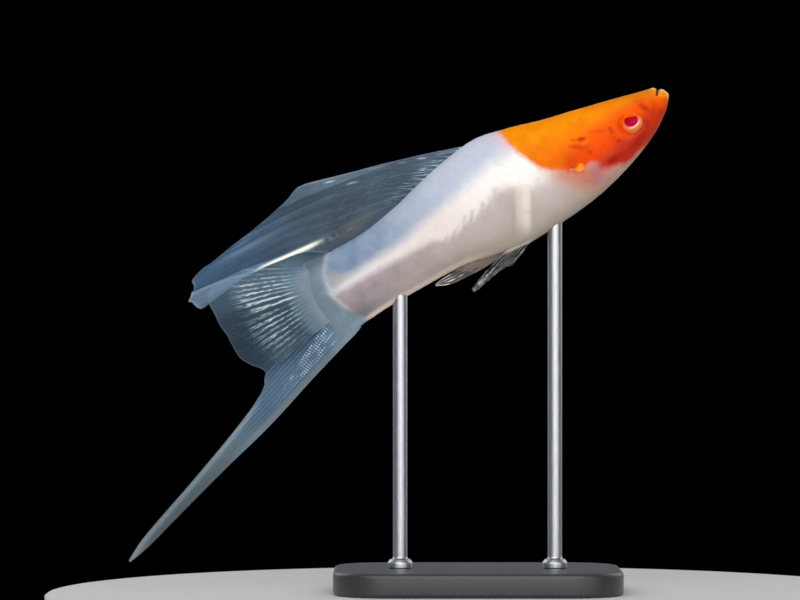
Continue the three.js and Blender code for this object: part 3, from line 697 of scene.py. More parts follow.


# line of points, width, strength: painted highlights on the membrane; the first lies along its rolled lower edge, which
# is also thickened, and the rest are a painted sheen below the crest and small painted glints
FOLDS_AND_GLINTS = [
    ([(4.6, 7.80), (2.5, 7.85), (0.5, 7.98), (-2.0, 8.22), (-5.0, 8.52), (-8.0, 8.80), (-11.5, 8.92)], 0.36, 1.0),
    ([(1.0, 12.5), (-6.0, 12.85), (-13.0, 13.15), (-17.0, 13.1)], 0.50, 0.13),
    ([(3.8, 17.0), (0.0, 15.9), (-6.0, 14.6), (-12.0, 13.9)], 0.60, 0.07),
    ([(13.6, 13.1), (12.2, 13.6), (10.6, 13.95)], 0.17, 0.36), ([(19.3, 13.0), (16.5, 13.9), (14.4, 14.6)], 0.14, 0.14), ([(10.4, 15.1), (9.0, 15.6), (7.6, 15.95)], 0.17, 0.34),
    ([(25.6, 10.85), (24.2, 11.4), (23.0, 11.9)], 0.17, 0.36), ([(22.3, 11.9), (20.0, 12.8)], 0.16, 0.20), ([(3.4, 15.8), (-0.2, 15.6)], 0.20, 0.14),
    ([(-5.5, 14.2), (-9.0, 14.0), (-12.0, 13.9)], 0.26, 0.12),
]


def dorsal_paint(U, V, S, H):
    ray, bright = ray_field(U, V, 13, fork=0.30, fork2=0.55, wide=0.18, thin=0.13, seed=21, dashes=40)
    fold = np.zeros_like(S)
    for points, width, much in FOLDS_AND_GLINTS:
        r, side, f = along(S, H, points)
        fold = np.maximum(fold, much * bell(r, width) * (smooth(f, 0.0, 0.30) * smooth(f, 1.0, 0.70) if much == 1 else smooth(f, -0.02, 0.50) * smooth(f, 1.02, 0.60)))
    crease, side, f = along(S, H, FOLDS_AND_GLINTS[0][0])
    crease = crease * side  # plus below the line, which runs to the rear
    near = smooth(V, 0.30, 0.02)
    first = smooth(U, 0.03, 0.005)
    # near the back the rays stand out as short steep strokes: start is where a stroke leaves the back
    start = S
    for _ in range(14):
        start = S + np.maximum(H - back_line(np.clip(start, 4, 33)), 0) / 0.52
    wander = start + 0.22 * np.sin(2.3 * start + 0.9 * (start - S)) + 0.12 * np.sin(5.1 * start - 1.3 * H)
    number = np.clip(np.floor(wander / 0.80), 0, 59).astype(int)
    stroke = 0.85 * bell(wander / 0.80 - number - 0.5, 0.21) * (0.30 + 0.70 * row_noise(35, 60, 22)(number, (start - S) / 12))
    stroke = stroke * smooth(start, 15.0, 22.0) * smooth(start, 33.0, 31.2) * smooth(start - S, 3.8, 0.7)
    grain = row_noise(36, 90, 110)((U * 89.9).astype(int), V)
    grain = smooth(grain, 0.62, 0.97) * smooth(S, -3, 8) * smooth(H, 16.5, 14.5) * smooth(start - S, 3.0, 6.0)
    spots = row_noise(31, 3, 90)(np.clip((H - 6.6) / 0.35, 0, 2).astype(int), (S + 25) / 60)
    warm = 0.8 * bell(np.hypot((S - 6.0) / 4.2, (H - 7.25 + 0.08 * (S - 6)) / 0.45), 1.0) * smooth(spots, 0.45, 0.75)
    warm = np.maximum(warm, 0.9 * bell(crease - 0.34, 0.22) * smooth(f, 0.05, 0.4) * smooth(f, 0.95, 0.5))
    warm = np.maximum(warm, 0.22 * patch(S, H, 9.5, 7.4, 4.5, 1.2, 10))
    mist = row_noise(33, 14, 9)((U * 13).astype(int), V)
    ray = np.maximum(ray * bright * (0.08 + 0.16 * near) * smooth(U, 1.0, 0.9) + 0.13 * grain, stroke)
    edge, _, _ = along(S, H, [(31.2, 9.7), (22, 12.66), (14, 14.9), (3.9, 17.42)])
    top, _, _ = along(S, H, [(-18, 12.3), (-12, 12.8), (-4, 13.3), (2, 14.8)])
    # denser membrane near the leading rays, and along the line below the crest a painted bluish sheen
    haze_and_sheen = 0.95 * smooth(edge, 3.8, 1.2) * smooth(S, -2, 6) + 0.75 * bell(top, 1.2)
    return fin_marks(S, ray=ray, fold=fold, rim=0.45 * first + 0.35 * smooth(V, 0.985, 1.0),
                     root=smooth(V, 0.020, 0.0), warm=warm, veil=smooth(S, 6.0, -14.0), cloud=haze_and_sheen + 0.6 * mist * smooth(H, 8.5, 13.0) + 0.5 * smooth(H, 13.0, 15.5))


def dorsal_thick(U, V, S, H):
    ray, _ = ray_field(U, V, 13, fork=0.30, fork2=0.55, wide=0.18, thin=0.13, seed=21, dashes=40)
    segments = 0.86 + 0.14 * np.cos(2 * math.pi * V * 58)
    fold, _, f = along(S, H, FOLDS_AND_GLINTS[0][0])
    return (0.09 + 0.24 * ray * segments * smooth(V, 0.6, 0.0) + 0.22 * smooth(U, 0.022, 0.0) * (1 - 0.6 * V)
            + 0.30 * bell(fold, 0.32) * smooth(f, 0, 0.45) * smooth(f, 1, 0.55))


# the dorsal fin's lowest part, folded up over its near side
flap_top = path([(-5.6, 8.55), (-8.5, 9.1), (-12, 9.75), (-16, 10.55), (-20.1, 11.0)])
flap_low = path([(-5.6, 8.42), (-8.0, 8.72), (-11.5, 8.80), (-15, 8.4), (-19.2, 7.85)])
flap_at = coons(flap_top, flap_low, straight((-5.6, 8.55), (-5.6, 8.42)), path(DORSAL_TIP[2:]))


def flap_lean(U, V, S, H):
    v = np.clip((17.2 - S) / 37.5, 0, 1)
    return dorsal_lean(1 - 0.16 * (1 - U), v, S, H) - 0.10 - 0.42 * np.sin(math.pi * np.clip(U, 0, 1) ** 0.8) * smooth(V, 0, 0.3) - 0.12 * (1 - U)


def flap_paint(U, V, S, H):
    ray, bright = ray_field(U, 0.35 + 0.65 * V, 3, fork=0.1, fork2=0.5, wide=0.16, thin=0.12, seed=61)
    # the pale line along the flap's upper edge, where the fin turns over, is a painted highlight
    return fin_marks(S, ray=0.35 * ray * bright, fold=0.14 * smooth(U, 0.30, 0.0) * smooth(V, 0.0, 0.2), rim=0.35 * smooth(V, 0.97, 1.0), veil=np.ones_like(S))


def flap_thick(U, V, S, H):
    ray, _ = ray_field(U, 0.35 + 0.65 * V, 3, fork=0.1, fork2=0.5, wide=0.16, thin=0.12, seed=61)
    return 0.07 + 0.06 * ray


# the tail fin: the fan, and the sword that its lowest rays draw out
SPLIT_A, SPLIT_M, SPLIT_B = (-0.2, -4.4), (-8.0, -5.42), (-16.3, -6.88)
fan_first = path([(3.6, 5.25), (2.5, 6.05), (1.0, 7.1), (-1.2, 8.15), (-5, 9.1), (-10, 10.0), (-15.5, 10.6)])
fan_last = path([SPLIT_A, SPLIT_M, SPLIT_B])
fan_root = path([(3.6, 5.25), (0.9, 2.8), (0.2, -1.0), SPLIT_A])
fan_margin = path([(-15.5, 10.6), (-17.7, 9.7), (-18.6, 8.2), (-18.7, 6.0), (-18.85, 4.0), (-18.65, 2.0), (-18.75, 0.0), (-18.65, -2.4), (-17.5, -4.5), (-16.6, -5.5), (-16.2, -6.3), SPLIT_B])
fan_at = swept(fan_first, fan_last, fan_root, fan_margin, curve([(0, 0.9), (0.15, 0.50), (0.35, 0.36), (0.6, 0.16), (0.8, 0.0), (1, -0.12)]),
               curve([(0, 0.05), (0.15, 0.16), (0.35, 0.20), (0.6, 0.05), (0.8, -0.06), (1, -0.17)]))
# by the height at which a ray leaves the tail: how steeply it runs up to the rear, and its number
FAN_SLOPE = curve([(-4.6, -0.15), (-3.4, -0.21), (-2.0, -0.16), (-0.8, -0.07), (0.1, 0.06), (1.0, 0.28), (2.2, 0.42), (3.6, 0.55), (5.4, 0.80), (7.5, 1.15)])
FAN_NUMBER = curve([(-4.6, 0), (-3.4, 2.2), (-0.8, 6.9), (0.6, 11.2), (2.2, 15.6), (5.4, 22.6), (7.5, 27.0)])


def fan_rays(S, H):
    run = np.maximum(0.3 - S, 0.0)
    low, high = np.full(S.shape, -4.6), np.full(S.shape, 7.5)
    for _ in range(24):
        middle = (low + high) / 2
        over = middle + FAN_SLOPE(middle) * run * (1 - 0.006 * run) > H
        low, high = np.where(over, low, middle), np.where(over, middle, high)
    number = FAN_NUMBER(low)
    ray, bright = ray_field(number / 27, np.clip(run / 19.3, 0, 1), 27, fork=0.36, fork2=0.66, wide=0.19, thin=0.14, seed=41, dashes=32)
    return ray, bright, number


def flesh_on_fin(S, H):
    """The tail's flesh thins out over the roots of the rays along a bow."""
    return smooth(S, -8.0 + 0.05 * (H + 0.5) ** 2, -3.0 + 0.03 * (H + 0.5) ** 2) * smooth(H, 6.4, 3.8)


def fan_lean(U, V, S, H):
    return 0.4 * np.sin(math.pi * 3.2 * U) * V * V * (1 - U**6)


def fan_paint(U, V, S, H):
    ray, bright, number = fan_rays(S, H)
    reach = 1.05 * smooth(S, -16.4, -11.0) * smooth(S, -1.6, -5.0)
    zone = 0.30 + 0.70 * smooth(number, 3.5, 7.0) * smooth(number, 21.0, 14.0)
    rear = smooth(S, -12.0, -15.5)
    return fin_marks(S, ray=ray * bright * (0.06 + 0.94 * reach) * zone * (1 - flesh_on_fin(S, H)), rim=0.25 * smooth(V, 0.985, 1.0), root=flesh_on_fin(S, H),
                     veil=rear * 0.6, cloud=(0.25 + 2.0 * smooth(number, 10.0, 17.0) * smooth(S, 2.0, -4.5)) * (1 - (0.7 - 0.5 * smooth(H, 3.0, 7.0)) * rear) + 0.25 * smooth(number, 5.5, 2.5))


def fan_thick(U, V, S, H):
    ray, _, _ = fan_rays(S, H)
    segments = 0.82 + 0.18 * np.cos(2 * math.pi * V * 34)
    flesh = flesh_on_fin(S, H)
    return 0.10 + 0.30 * ray * segments * (1 - 0.8 * V) * smooth(V, 0.02, 0.30) * (1 - flesh) + 0.42 * flesh


SWORD_ROOT, SWORD_TIP = 1.4, -51.7
sword_upper = path([(1.4, -4.2), SPLIT_A, SPLIT_M, SPLIT_B, (-17.6, -8.5), (-20, -10.0), (-25, -12.2), (-35, -15.95), (-48, -20.55), (-50.8, -21.95), (-51.7, -22.45)])
sword_lower = path([(1.4, -7.95), (0.0, -8.5), (-2.0, -9.05), (-10, -11.45), (-20, -14.65), (-30, -17.2), (-42, -20.5), (-48, -22.15), (-51.7, -22.8)])
_su, _sl = sword_upper(np.linspace(0, 1, 400)), sword_lower(np.linspace(0, 1, 400))


def sword_at(U, V):
    s = SWORD_ROOT + (SWORD_TIP - SWORD_ROOT) * V
    top, low = np.interp(s, _su[::-1, 0], _su[::-1, 1]), np.interp(s, _sl[::-1, 0], _sl[::-1, 1])
    return np.stack([s, top + (low - top) * U], -1)


def sword_lean(U, V, S, H):
    return 1.6 * V**3 + 0.12 * np.sin(6.0 * V + 1.5 * U) * V


def sword_rays(S, H):
    """Six jointed rays close up towards each other to the rear, over a broad smooth band, with plainer rays above them."""
    over = H - np.interp(S, _sl[::-1, 0], _sl[::-1, 1])
    under = np.interp(S, _su[::-1, 0], _su[::-1, 1]) - H
    back = -2.5 - S
    low, high = -7.85 - 0.295 * back, -3.85 - 0.50 * back
    row = 6 * (H - low) / np.maximum(high - low, 0.4)
    k = np.clip(np.floor(row), 0, 5).astype(int)
    line = bell(row - np.floor(row) - 0.5, 0.32)
    joint = smooth(np.cos(2 * math.pi * (S + 0.42 * H + 0.08 * np.sin(1.7 * k + 0.8 * S)) / 0.50), -0.5, 0.9)
    luck = 0.15 + 0.85 * row_noise(52, 6, 60)(k, (S - SWORD_TIP) / 53)
    on = smooth(row, -0.2, 0.4) * smooth(row, 6.2, 5.5) * smooth(S, -18.5, -10) * smooth(S, -1.4, -4.6)
    thread = over / 0.62
    plain = bell(thread - np.floor(thread) - 0.5, 0.25) * smooth(over, 1.2, 1.6) * (1 - on)
    return over, under, on * (0.20 + 0.80 * joint) * (0.30 + 0.70 * line) * luck, plain


def sword_paint(U, V, S, H):
    over, under, jointed, plain = sword_rays(S, H)
    band = smooth(over, 1.55, 0.75) * smooth(S, -30, -22) * smooth(S, 1.0, -1.5)
    upper = bell(under - 0.45, 0.45) * smooth(S, -18, -22)
    inner = np.maximum(smooth(under, 0.0, 1.8), smooth(S, -13.5, -17.5))
    return fin_marks(S, ray=jointed + 0.10 * plain * smooth(S, -30, -22) + 0.06 * plain, rim=0.25 * band + 0.20 * smooth(U, 0.97, 1.0) + 0.45 * upper,
                     root=smooth(S, -5.6, 0.2), veil=np.maximum(band, smooth(S, -18, -30)), cloud=inner * (1 - 0.15 * smooth(S, -24, -34) + 0.55 * bell(S + 26.5, 6.5)), warm=0.4 * smooth(S, -44, -51))


def sword_thick(U, V, S, H):
    over, under, jointed, plain = sword_rays(S, H)
    return (0.13 + 0.24 * jointed + 0.10 * plain * (1 - 0.7 * V) + 0.16 * smooth(over, 1.2, 0.6) * (1 - 0.6 * V) + 0.10 * bell(under, 0.3)
            + 0.35 * smooth(S, -4.0, -1.0))


# paired fins
def plain_paint(count, strength=1.0, rim=0.4, root=0.18, **how):
    def paint(U, V, S, H):
        ray, bright = ray_field(U, V, count, **how)
        return fin_marks(S, ray=ray * bright * strength, rim=rim * smooth(V, 0.95, 1.0), root=smooth(V, root, 0.0))
    return paint


def plain_thick(count, base=0.1, more=0.18, root=0.25, **how):
    def thick(U, V, S, H):
        ray, _ = ray_field(U, V, count, **how)
        return base + more * ray * (1 - 0.7 * V) * (0.88 + 0.12 * np.cos(2 * math.pi * V * 18)) + root * smooth(V, 0.16, 0.0)
    return thick


pectoral_at = coons(
    path([(46.1, -2.3), (41.5, -0.7), (36.5, 0.6)]), path([(45.6, -4.3), (40.5, -7.0), (33.4, -8.9)]),
    straight((46.1, -2.3), (45.6, -4.3)), path([(36.5, 0.6), (34.4, -1.5), (32.9, -4.4), (31.1, -7.6), (31.5, -8.6), (33.4, -8.9)]))


def pectoral_flare(side):
    def lean(U, V, S, H):
        out = np.maximum(half_at(S, H), 4.2) + 0.75 + 2.1 * V**1.2
        root = half_at(S, H) - 0.1
        return side * (root + (out - root) * smooth(V, 0.0, 0.16) + 0.10 * np.sin(14 * U) * V)
    return lean


PECTORAL_RAYS = dict(fork=0.4, fork2=0.7, seed=71)


def pectoral_paint(U, V, S, H):
    ray, bright = ray_field(U, V, 12, **PECTORAL_RAYS)
    r, side, f = along(S, H, [(37.3, 0.9), (36.0, -2.0), (34.9, -4.2), (33.7, -6.4), (32.4, -8.7)])
    band = smooth(r * side, -2.5, 0.4) * smooth(r * side, 1.40, 0.15) * smooth(f, 0.0, 0.42) * smooth(f, 1.04, 0.65)
    return fin_marks(S, ray=0.6 * ray * bright * (0.10 + 0.90 * band), veil=band, cloud=smooth(f, 0.75, 0.25) * band)


def pelvic_at(drop):
    return coons(
        path([(33.5, -9.45), (31.0, -10.8), (28.6, -11.25 - drop)]),
        path([(28.9, -8.9), (25.5, -9.7 - drop / 2), (22.6, -10.75 - drop)]),
        straight((33.5, -9.45), (28.9, -8.9)),
        path([(28.6, -11.25 - drop), (27.4, -10.95 - drop), (25.0, -11.2 - drop), (22.6, -11.7 - drop), (20.9, -11.95 - drop), (20.6, -11.75 - drop), (21.0, -11.4 - drop), (22.6, -10.75 - drop)]))


def pelvic_lean(side):
    return lambda U, V, S, H: side * (1.05 + 0.8 * V + 0.12 * np.sin(9 * U) * V)


PELVIC_RAYS = dict(fork=0.45, fork2=0.75, wide=0.20, thin=0.15, seed=81)

gono_top = curve([(15.65, -8.00), (16.2, -7.78), (17.3, -7.64), (19, -7.58), (21, -7.55), (23.5, -7.85), (25.5, -8.30), (28.4, -8.95)])
gono_low = curve([(15.65, -8.25), (16.3, -8.52), (17.2, -8.95), (18.8, -9.32), (21, -9.48), (23.5, -9.60), (26, -9.50), (28.4, -9.25)])


def gono_at(U, V):
    s = 28.4 + (15.65 - 28.4) * V
    return np.stack([s, gono_top(s) + (gono_low(s) - gono_top(s)) * U], -1)


def gono_ridges(U):
    return bell(U - 0.93, 0.07) + 0.8 * bell(U - 0.66, 0.08) + 0.6 * bell(U - 0.40, 0.08) + 0.5 * bell(U - 0.10, 0.08)


def gono_thick(U, V, S, H):
    return (1.0 - 0.62 * V) * (0.30 + 0.42 * np.sin(math.pi * (0.06 + 0.88 * U))) * (0.72 + 0.28 * gono_ridges(U))


def gono_paint(U, V, S, H):
    wave = smooth(row_noise(91, 6, 14)((U * 5).astype(int), V), 0.15, 0.85)
    return fin_marks(S, ray=gono_ridges(U) * (0.20 + 0.80 * wave) * (0.18 + 0.82 * smooth(V, 0.42, 0.75)), rim=0.6 * smooth(V, 0.88, 1.0), root=smooth(V, 0.70, 0.30) * (0.4 + 0.6 * wave),
                     warm=smooth(U, 0.55, 0.10) * smooth(S, 19.5, 23.0))


# ------------------------------------------------------------------ eyes
def eye_centre(side):
    return np.array([EYE["s"], EYE["h"], side * (float(half_at(EYE["s"], EYE["h"])) + EYE["proud"] - EYE["deep"])])


def make_eye(side):
    """The eyeball: a domed iris with a lens in its pupil, whose middle sits a little high."""
    n, m, k = 120, 84, 18
    front, rear = np.linspace(0, 1, m)[1:] ** 0.95, np.linspace(0, math.pi / 2, k)[1:-1]
    r = np.concatenate([front, np.cos(rear)])[:, None]
    dome = np.concatenate([np.sqrt(1 - front**2), -np.sin(rear)])[:, None]
    a = np.arange(n) / n * 2 * math.pi
    x, y = r * np.cos(a), r * np.sin(a)
    c = eye_centre(side)
    S, H = c[0] + x * EYE["radius"], c[1] + y * EYE["radius"] * EYE["tall"]
    p = np.hypot((S - PUPIL["s"]) / PUPIL["long"], (H - PUPIL["h"]) / PUPIL["tall"])
    facing = dome > 0
    sink = 0.06 * smooth(p, 1.08, 0.94) - 0.05 * np.sqrt(np.clip(1 - (p / 0.92) ** 2, 0, 1)) + 0.03 * smooth(p, 1.75, 1.15)
    W = c[2] + side * (dome * EYE["deep"] - np.where(facing, sink, 0))
    co = np.vstack([place(S, H, W).reshape(-1, 3), place(c[0], c[1], c[2] + side * (EYE["deep"] - 0.10)), place(c[0], c[1], c[2] - side * EYE["deep"])])
    rows = len(r)
    j = np.arange(n)
    k2 = (j + 1) % n
    tris = np.vstack([np.stack([np.full(n, rows * n), k2, j], -1), np.stack([np.full(n, rows * n + 1), (rows - 1) * n + j, (rows - 1) * n + k2], -1)])
    flat = lambda v, ends: np.concatenate([(v * np.ones_like(x)).ravel(), ends])
    # high marks the top of the pupil, and low the iris below it: the eye is painted darker and more salmon above,
    # partly as the upper lid's shade
    marks = dict(
        pupil=flat(smooth(p, 1.04, 0.94) * facing, [1, 0]), edge=flat(bell(p - 1.03, 0.07), [0, 0]), high=flat(smooth(H, -0.75, 0.05), [0.5, 0]),
        low=flat(smooth((PUPIL["h"] - H) + 0.12 * (S - PUPIL["s"]), 0.45, 1.15), [0.3, 0.5]), outer=flat(smooth(p, 1.16, 1.42), [0, 1]))
    reach = np.concatenate([front * 0.36, 0.36 + 0.08 * (rear / (math.pi / 2))])[:, None]
    uv = np.stack([0.5 + reach * np.cos(a), 0.5 + reach * np.sin(a)], -1).reshape(-1, 2)
    return new_mesh("eye_right_ball" if side < 0 else "eye_left_ball", co, sheet_faces(rows, n, closed=True), tris, np.vstack([uv, [[0.5, 0.5], [0.5, 0.96]]]), marks)


def make_cornea(side):
    """The clear dome over the iris, a thin closed shell that dips under the skin at the edge of the opening."""
    n, m = 96, 20
    c = eye_centre(side)
    r = np.linspace(0.0, 0.86, m)[1:, None]
    a = np.arange(n) / n * 2 * math.pi
    co = []
    S, H = c[0] + r * np.cos(a) * EYE["radius"], c[1] + r * np.sin(a) * EYE["radius"] * EYE["tall"]
    for lift in (0.07, 0.03):
        depth = np.sqrt(1 - r * r) * EYE["deep"] + lift - 0.30 * smooth(orbit_distance(S, H), 0.82, 1.02)
        co.append(place(S, H, c[2] + side * depth).reshape(-1, 3))
    rows = m - 1
    k0 = rows * n
    co = np.vstack(co + [place(c[0], c[1], c[2] + side * (EYE["deep"] + lift)) for lift in (0.07, 0.03)])
    j = np.arange(n)
    k = (j + 1) % n
    outer, inner = sheet_faces(rows, n, closed=True), sheet_faces(rows, n, offset=k0, closed=True, flip=True)
    edge = np.stack([(rows - 1) * n + j, (rows - 1) * n + k, (rows - 1) * n + k + k0, (rows - 1) * n + j + k0], -1)
    tris = np.vstack([np.stack([np.full(n, 2 * k0), k, j], -1), np.stack([np.full(n, 2 * k0 + 1), j + k0, k + k0], -1)])
    return new_mesh("cornea_right" if side < 0 else "cornea_left", co, np.vstack([outer, inner, edge]), tris)


# ------------------------------------------------------------------ stand
BASE = dict(length=48.0, width=34.0, height=4.0, corner=9.0, bevel=0.7)
ROD = dict(radius=1.2, reach=12.9, sink=2.4, enter=1.3, collar=2.1, collar_height=1.5)


def lathe(name, profile, x, sides=64):
    """A closed turned piece from (radius, height) pairs that start and end on the axis."""
    p = np.array(profile[1:-1], float)
    a = np.arange(sides) / sides * 2 * math.pi
    co = np.stack([x + p[:, :1] * np.cos(a), p[:, :1] * np.sin(a), p[:, 1:] * np.ones_like(a)], -1).reshape(-1, 3)
    co = np.vstack([co, [[x, 0, profile[0][1]], [x, 0, profile[-1][1]]]]) * MM
    j = np.arange(sides)
    k = (j + 1) % sides
    last = (len(p) - 1) * sides
    tris = np.vstack([np.stack([np.full(sides, len(co) - 2), k, j], -1), np.stack([np.full(sides, len(co) - 1), last + j, last + k], -1)])
    return new_mesh(name, co, sheet_faces(len(p), sides, closed=True), tris)


def round_corner(points, radius, steps=6):
    """Rounds the corners of a (radius, height) profile."""
    p = [np.array(q, float) for q in points]
    out = [p[0]]
    for a, b, c in zip(p[:-2], p[1:-1], p[2:]):
        r = min(radius, 0.45 * np.linalg.norm(a - b), 0.45 * np.linalg.norm(c - b))
        s, e = b + (a - b) / np.linalg.norm(a - b) * r, b + (c - b) / np.linalg.norm(c - b) * r
        for t in np.linspace(0, 1, steps + 1):
            out.append((1 - t) ** 2 * s + 2 * t * (1 - t) * b + t * t * e)
    out.append(p[-1])
    return [tuple(q) for q in out]


def rod_top(x):
    s = 20.0
    for _ in range(60):
        s = (x - ROOT_X + float(belly_line(s)) * SIN) / COS
    return ROOT_Z + s * SIN + float(belly_line(s)) * COS


def make_rod(name, x):
    top = rod_top(x) + ROD["enter"]
    r, c, z = ROD["radius"], ROD["collar"], BASE["height"]
    profile = [(0, z - ROD["sink"]), (r, z - ROD["sink"]), (r, z + 0.02), (c, z + 0.02), (c, z + 0.95), (c - 0.42, z + ROD["collar_height"]),
               (r + 0.12, z + ROD["collar_height"] + 0.1), (r, z + ROD["collar_height"] + 0.35), (r, top - 0.35), (r - 0.4, top), (0, top)]
    return lathe(name, round_corner(profile, 0.14, 5), x, 56)


def make_base():
    """The base plate: a slab with rounded corners and a rounded edge."""
    l, w, c, b, z = BASE["length"] / 2, BASE["width"] / 2, BASE["corner"], BASE["bevel"], BASE["height"]
    a = np.linspace(0, math.pi / 2, 17)
    corner = [(l - c, w - c), (-l + c, w - c), (-l + c, -w + c), (l - c, -w + c)]
    away = np.array([(math.cos(t + q * math.pi / 2), math.sin(t + q * math.pi / 2)) for q in range(4) for t in a])
    ring = np.repeat(np.array(corner), len(a), axis=0) + c * away
    t = np.linspace(0, math.pi / 2, 9)
    levels = [(-b * (1 - math.sin(x)), b * (1 - math.cos(x))) for x in t] + [(-b * (1 - math.cos(x)), z - b * (1 - math.sin(x))) for x in t]
    n = len(ring)
    co = np.vstack([np.column_stack([ring + away * inset, np.full(n, h)]) for inset, h in levels])
    lo, hi = len(co), len(co) + 1
    co = np.vstack([co, [[0, 0, 0], [0, 0, z]]]) * MM
    j = np.arange(n)
    k = (j + 1) % n
    last = (len(levels) - 1) * n
    tris = np.vstack([np.stack([np.full(n, lo), k, j], -1), np.stack([np.full(n, hi), last + j, last + k], -1)])
    return new_mesh("base_plate", co, sheet_faces(len(levels), n, closed=True), tris)


# ------------------------------------------------------------------ materials
class Nodes:
    """Short hand for building a material's nodes."""

    def __init__(self, name):
        self.m = bpy.data.materials.new(name)
        self.m.use_nodes = True
        self.t = self.m.node_tree
        self.t.nodes.clear()
        self.out = self.t.nodes.new("ShaderNodeOutputMaterial")
        self.bsdf = self.t.nodes.new("ShaderNodeBsdfPrincipled")
        self.link(self.bsdf.outputs[0], self.out.inputs["Surface"])

    def link(self, a, b):
        self.t.links.new(a, b)

    def set(self, socket, value):
        self.feed(self.bsdf.inputs[socket], value)

    def feed(self, socket, value):
        if isinstance(value, bpy.types.NodeSocket):
            self.link(value, socket)
        elif socket.type == "RGBA":
            socket.default_value = (*[float(x) for x in value], 1)
        elif socket.type == "VECTOR":
            socket.default_value = tuple(float(x) for x in (value if hasattr(value, "__len__") else (value,) * 3))
        else:
            socket.default_value = float(value)

    def mark(self, name):
        n = self.t.nodes.new("ShaderNodeAttribute")
        n.attribute_name = name
        n.attribute_type = "GEOMETRY"
        return n.outputs["Fac"]

    def math(self, op, a, b=0.0, clamp=False):
        n = self.t.nodes.new("ShaderNodeMath")
        n.operation = op
        n.use_clamp = clamp
        self.feed(n.inputs[0], a)
        self.feed(n.inputs[1], b)
        return n.outputs[0]

    def times(self, a, b):
        return self.math("MULTIPLY", a, b)

    def plus(self, a, b, clamp=False):
        return self.math("ADD", a, b, clamp)

    def mix(self, fac, a, b):
        n = self.t.nodes.new("ShaderNodeMix")
        n.data_type = "RGBA"
        n.clamp_factor = True
        self.feed(n.inputs[0], fac)
        self.feed(n.inputs[6], a)
        self.feed(n.inputs[7], b)
        return n.outputs[2]

    def smooth(self, x, a, b, lo=0.0, hi=1.0):
        n = self.t.nodes.new("ShaderNodeMapRange")
        n.interpolation_type = "SMOOTHSTEP"
        for i, v in enumerate((x, a, b, lo, hi)):
            self.feed(n.inputs[i], v)
        return n.outputs[0]

    def coords(self, scale=(1, 1, 1), turn=TILT):
        """Place on the object in mm, turned to the fish's own frame."""
        c = self.t.nodes.new("ShaderNodeTexCoord")
        m = self.t.nodes.new("ShaderNodeMapping")
        m.vector_type = "POINT"
        self.link(c.outputs["Object"], m.inputs["Vector"])
        m.inputs["Rotation"].default_value = (0, turn, 0)
        n = self.t.nodes.new("ShaderNodeMapping")
        n.vector_type = "POINT"
        self.link(m.outputs[0], n.inputs["Vector"])
        n.inputs["Scale"].default_value = tuple(1000.0 * v for v in scale)
        return n.outputs[0]

    def noise(self, scale, detail=3.0, rough=0.5, stretch=(1, 1, 1), turn=TILT):
        n = self.t.nodes.new("ShaderNodeTexNoise")
        n.inputs["Scale"].default_value = scale
        n.inputs["Detail"].default_value = detail
        n.inputs["Roughness"].default_value = rough
        self.link(self.coords(stretch, turn), n.inputs["Vector"])
        return n.outputs["Fac"]

    def bump(self, height, strength, distance):
        n = self.t.nodes.new("ShaderNodeBump")
        n.inputs["Strength"].default_value = strength
        n.inputs["Distance"].default_value = distance
        self.link(height, n.inputs["Height"])
        self.link(n.outputs[0], self.bsdf.inputs["Normal"])


FLESH = (121, 138, 152)


def flesh_tint(k, forward=None):
    """The mottled grey-blue flesh at the tail's end, the same on the skin and on the fins' roots."""
    blot = k.smooth(k.noise(0.55, 4, 0.6), 0.36, 0.64)
    tint = k.mix(blot, srgb(*[c * 0.95 for c in FLESH]), srgb(*[c * 1.06 for c in FLESH]))
    if forward is None:
        return k.mix(0.7, tint, srgb(*[c * 0.88 for c in FLESH]))
    tint = k.mix(k.smooth(forward, 0.0, -0.05), tint, srgb(*[c * 0.89 for c in FLESH]))
    return k.mix(k.times(k.smooth(k.mark("height"), 0.32, 0.54), 0.9), tint, srgb(84, 101, 109))


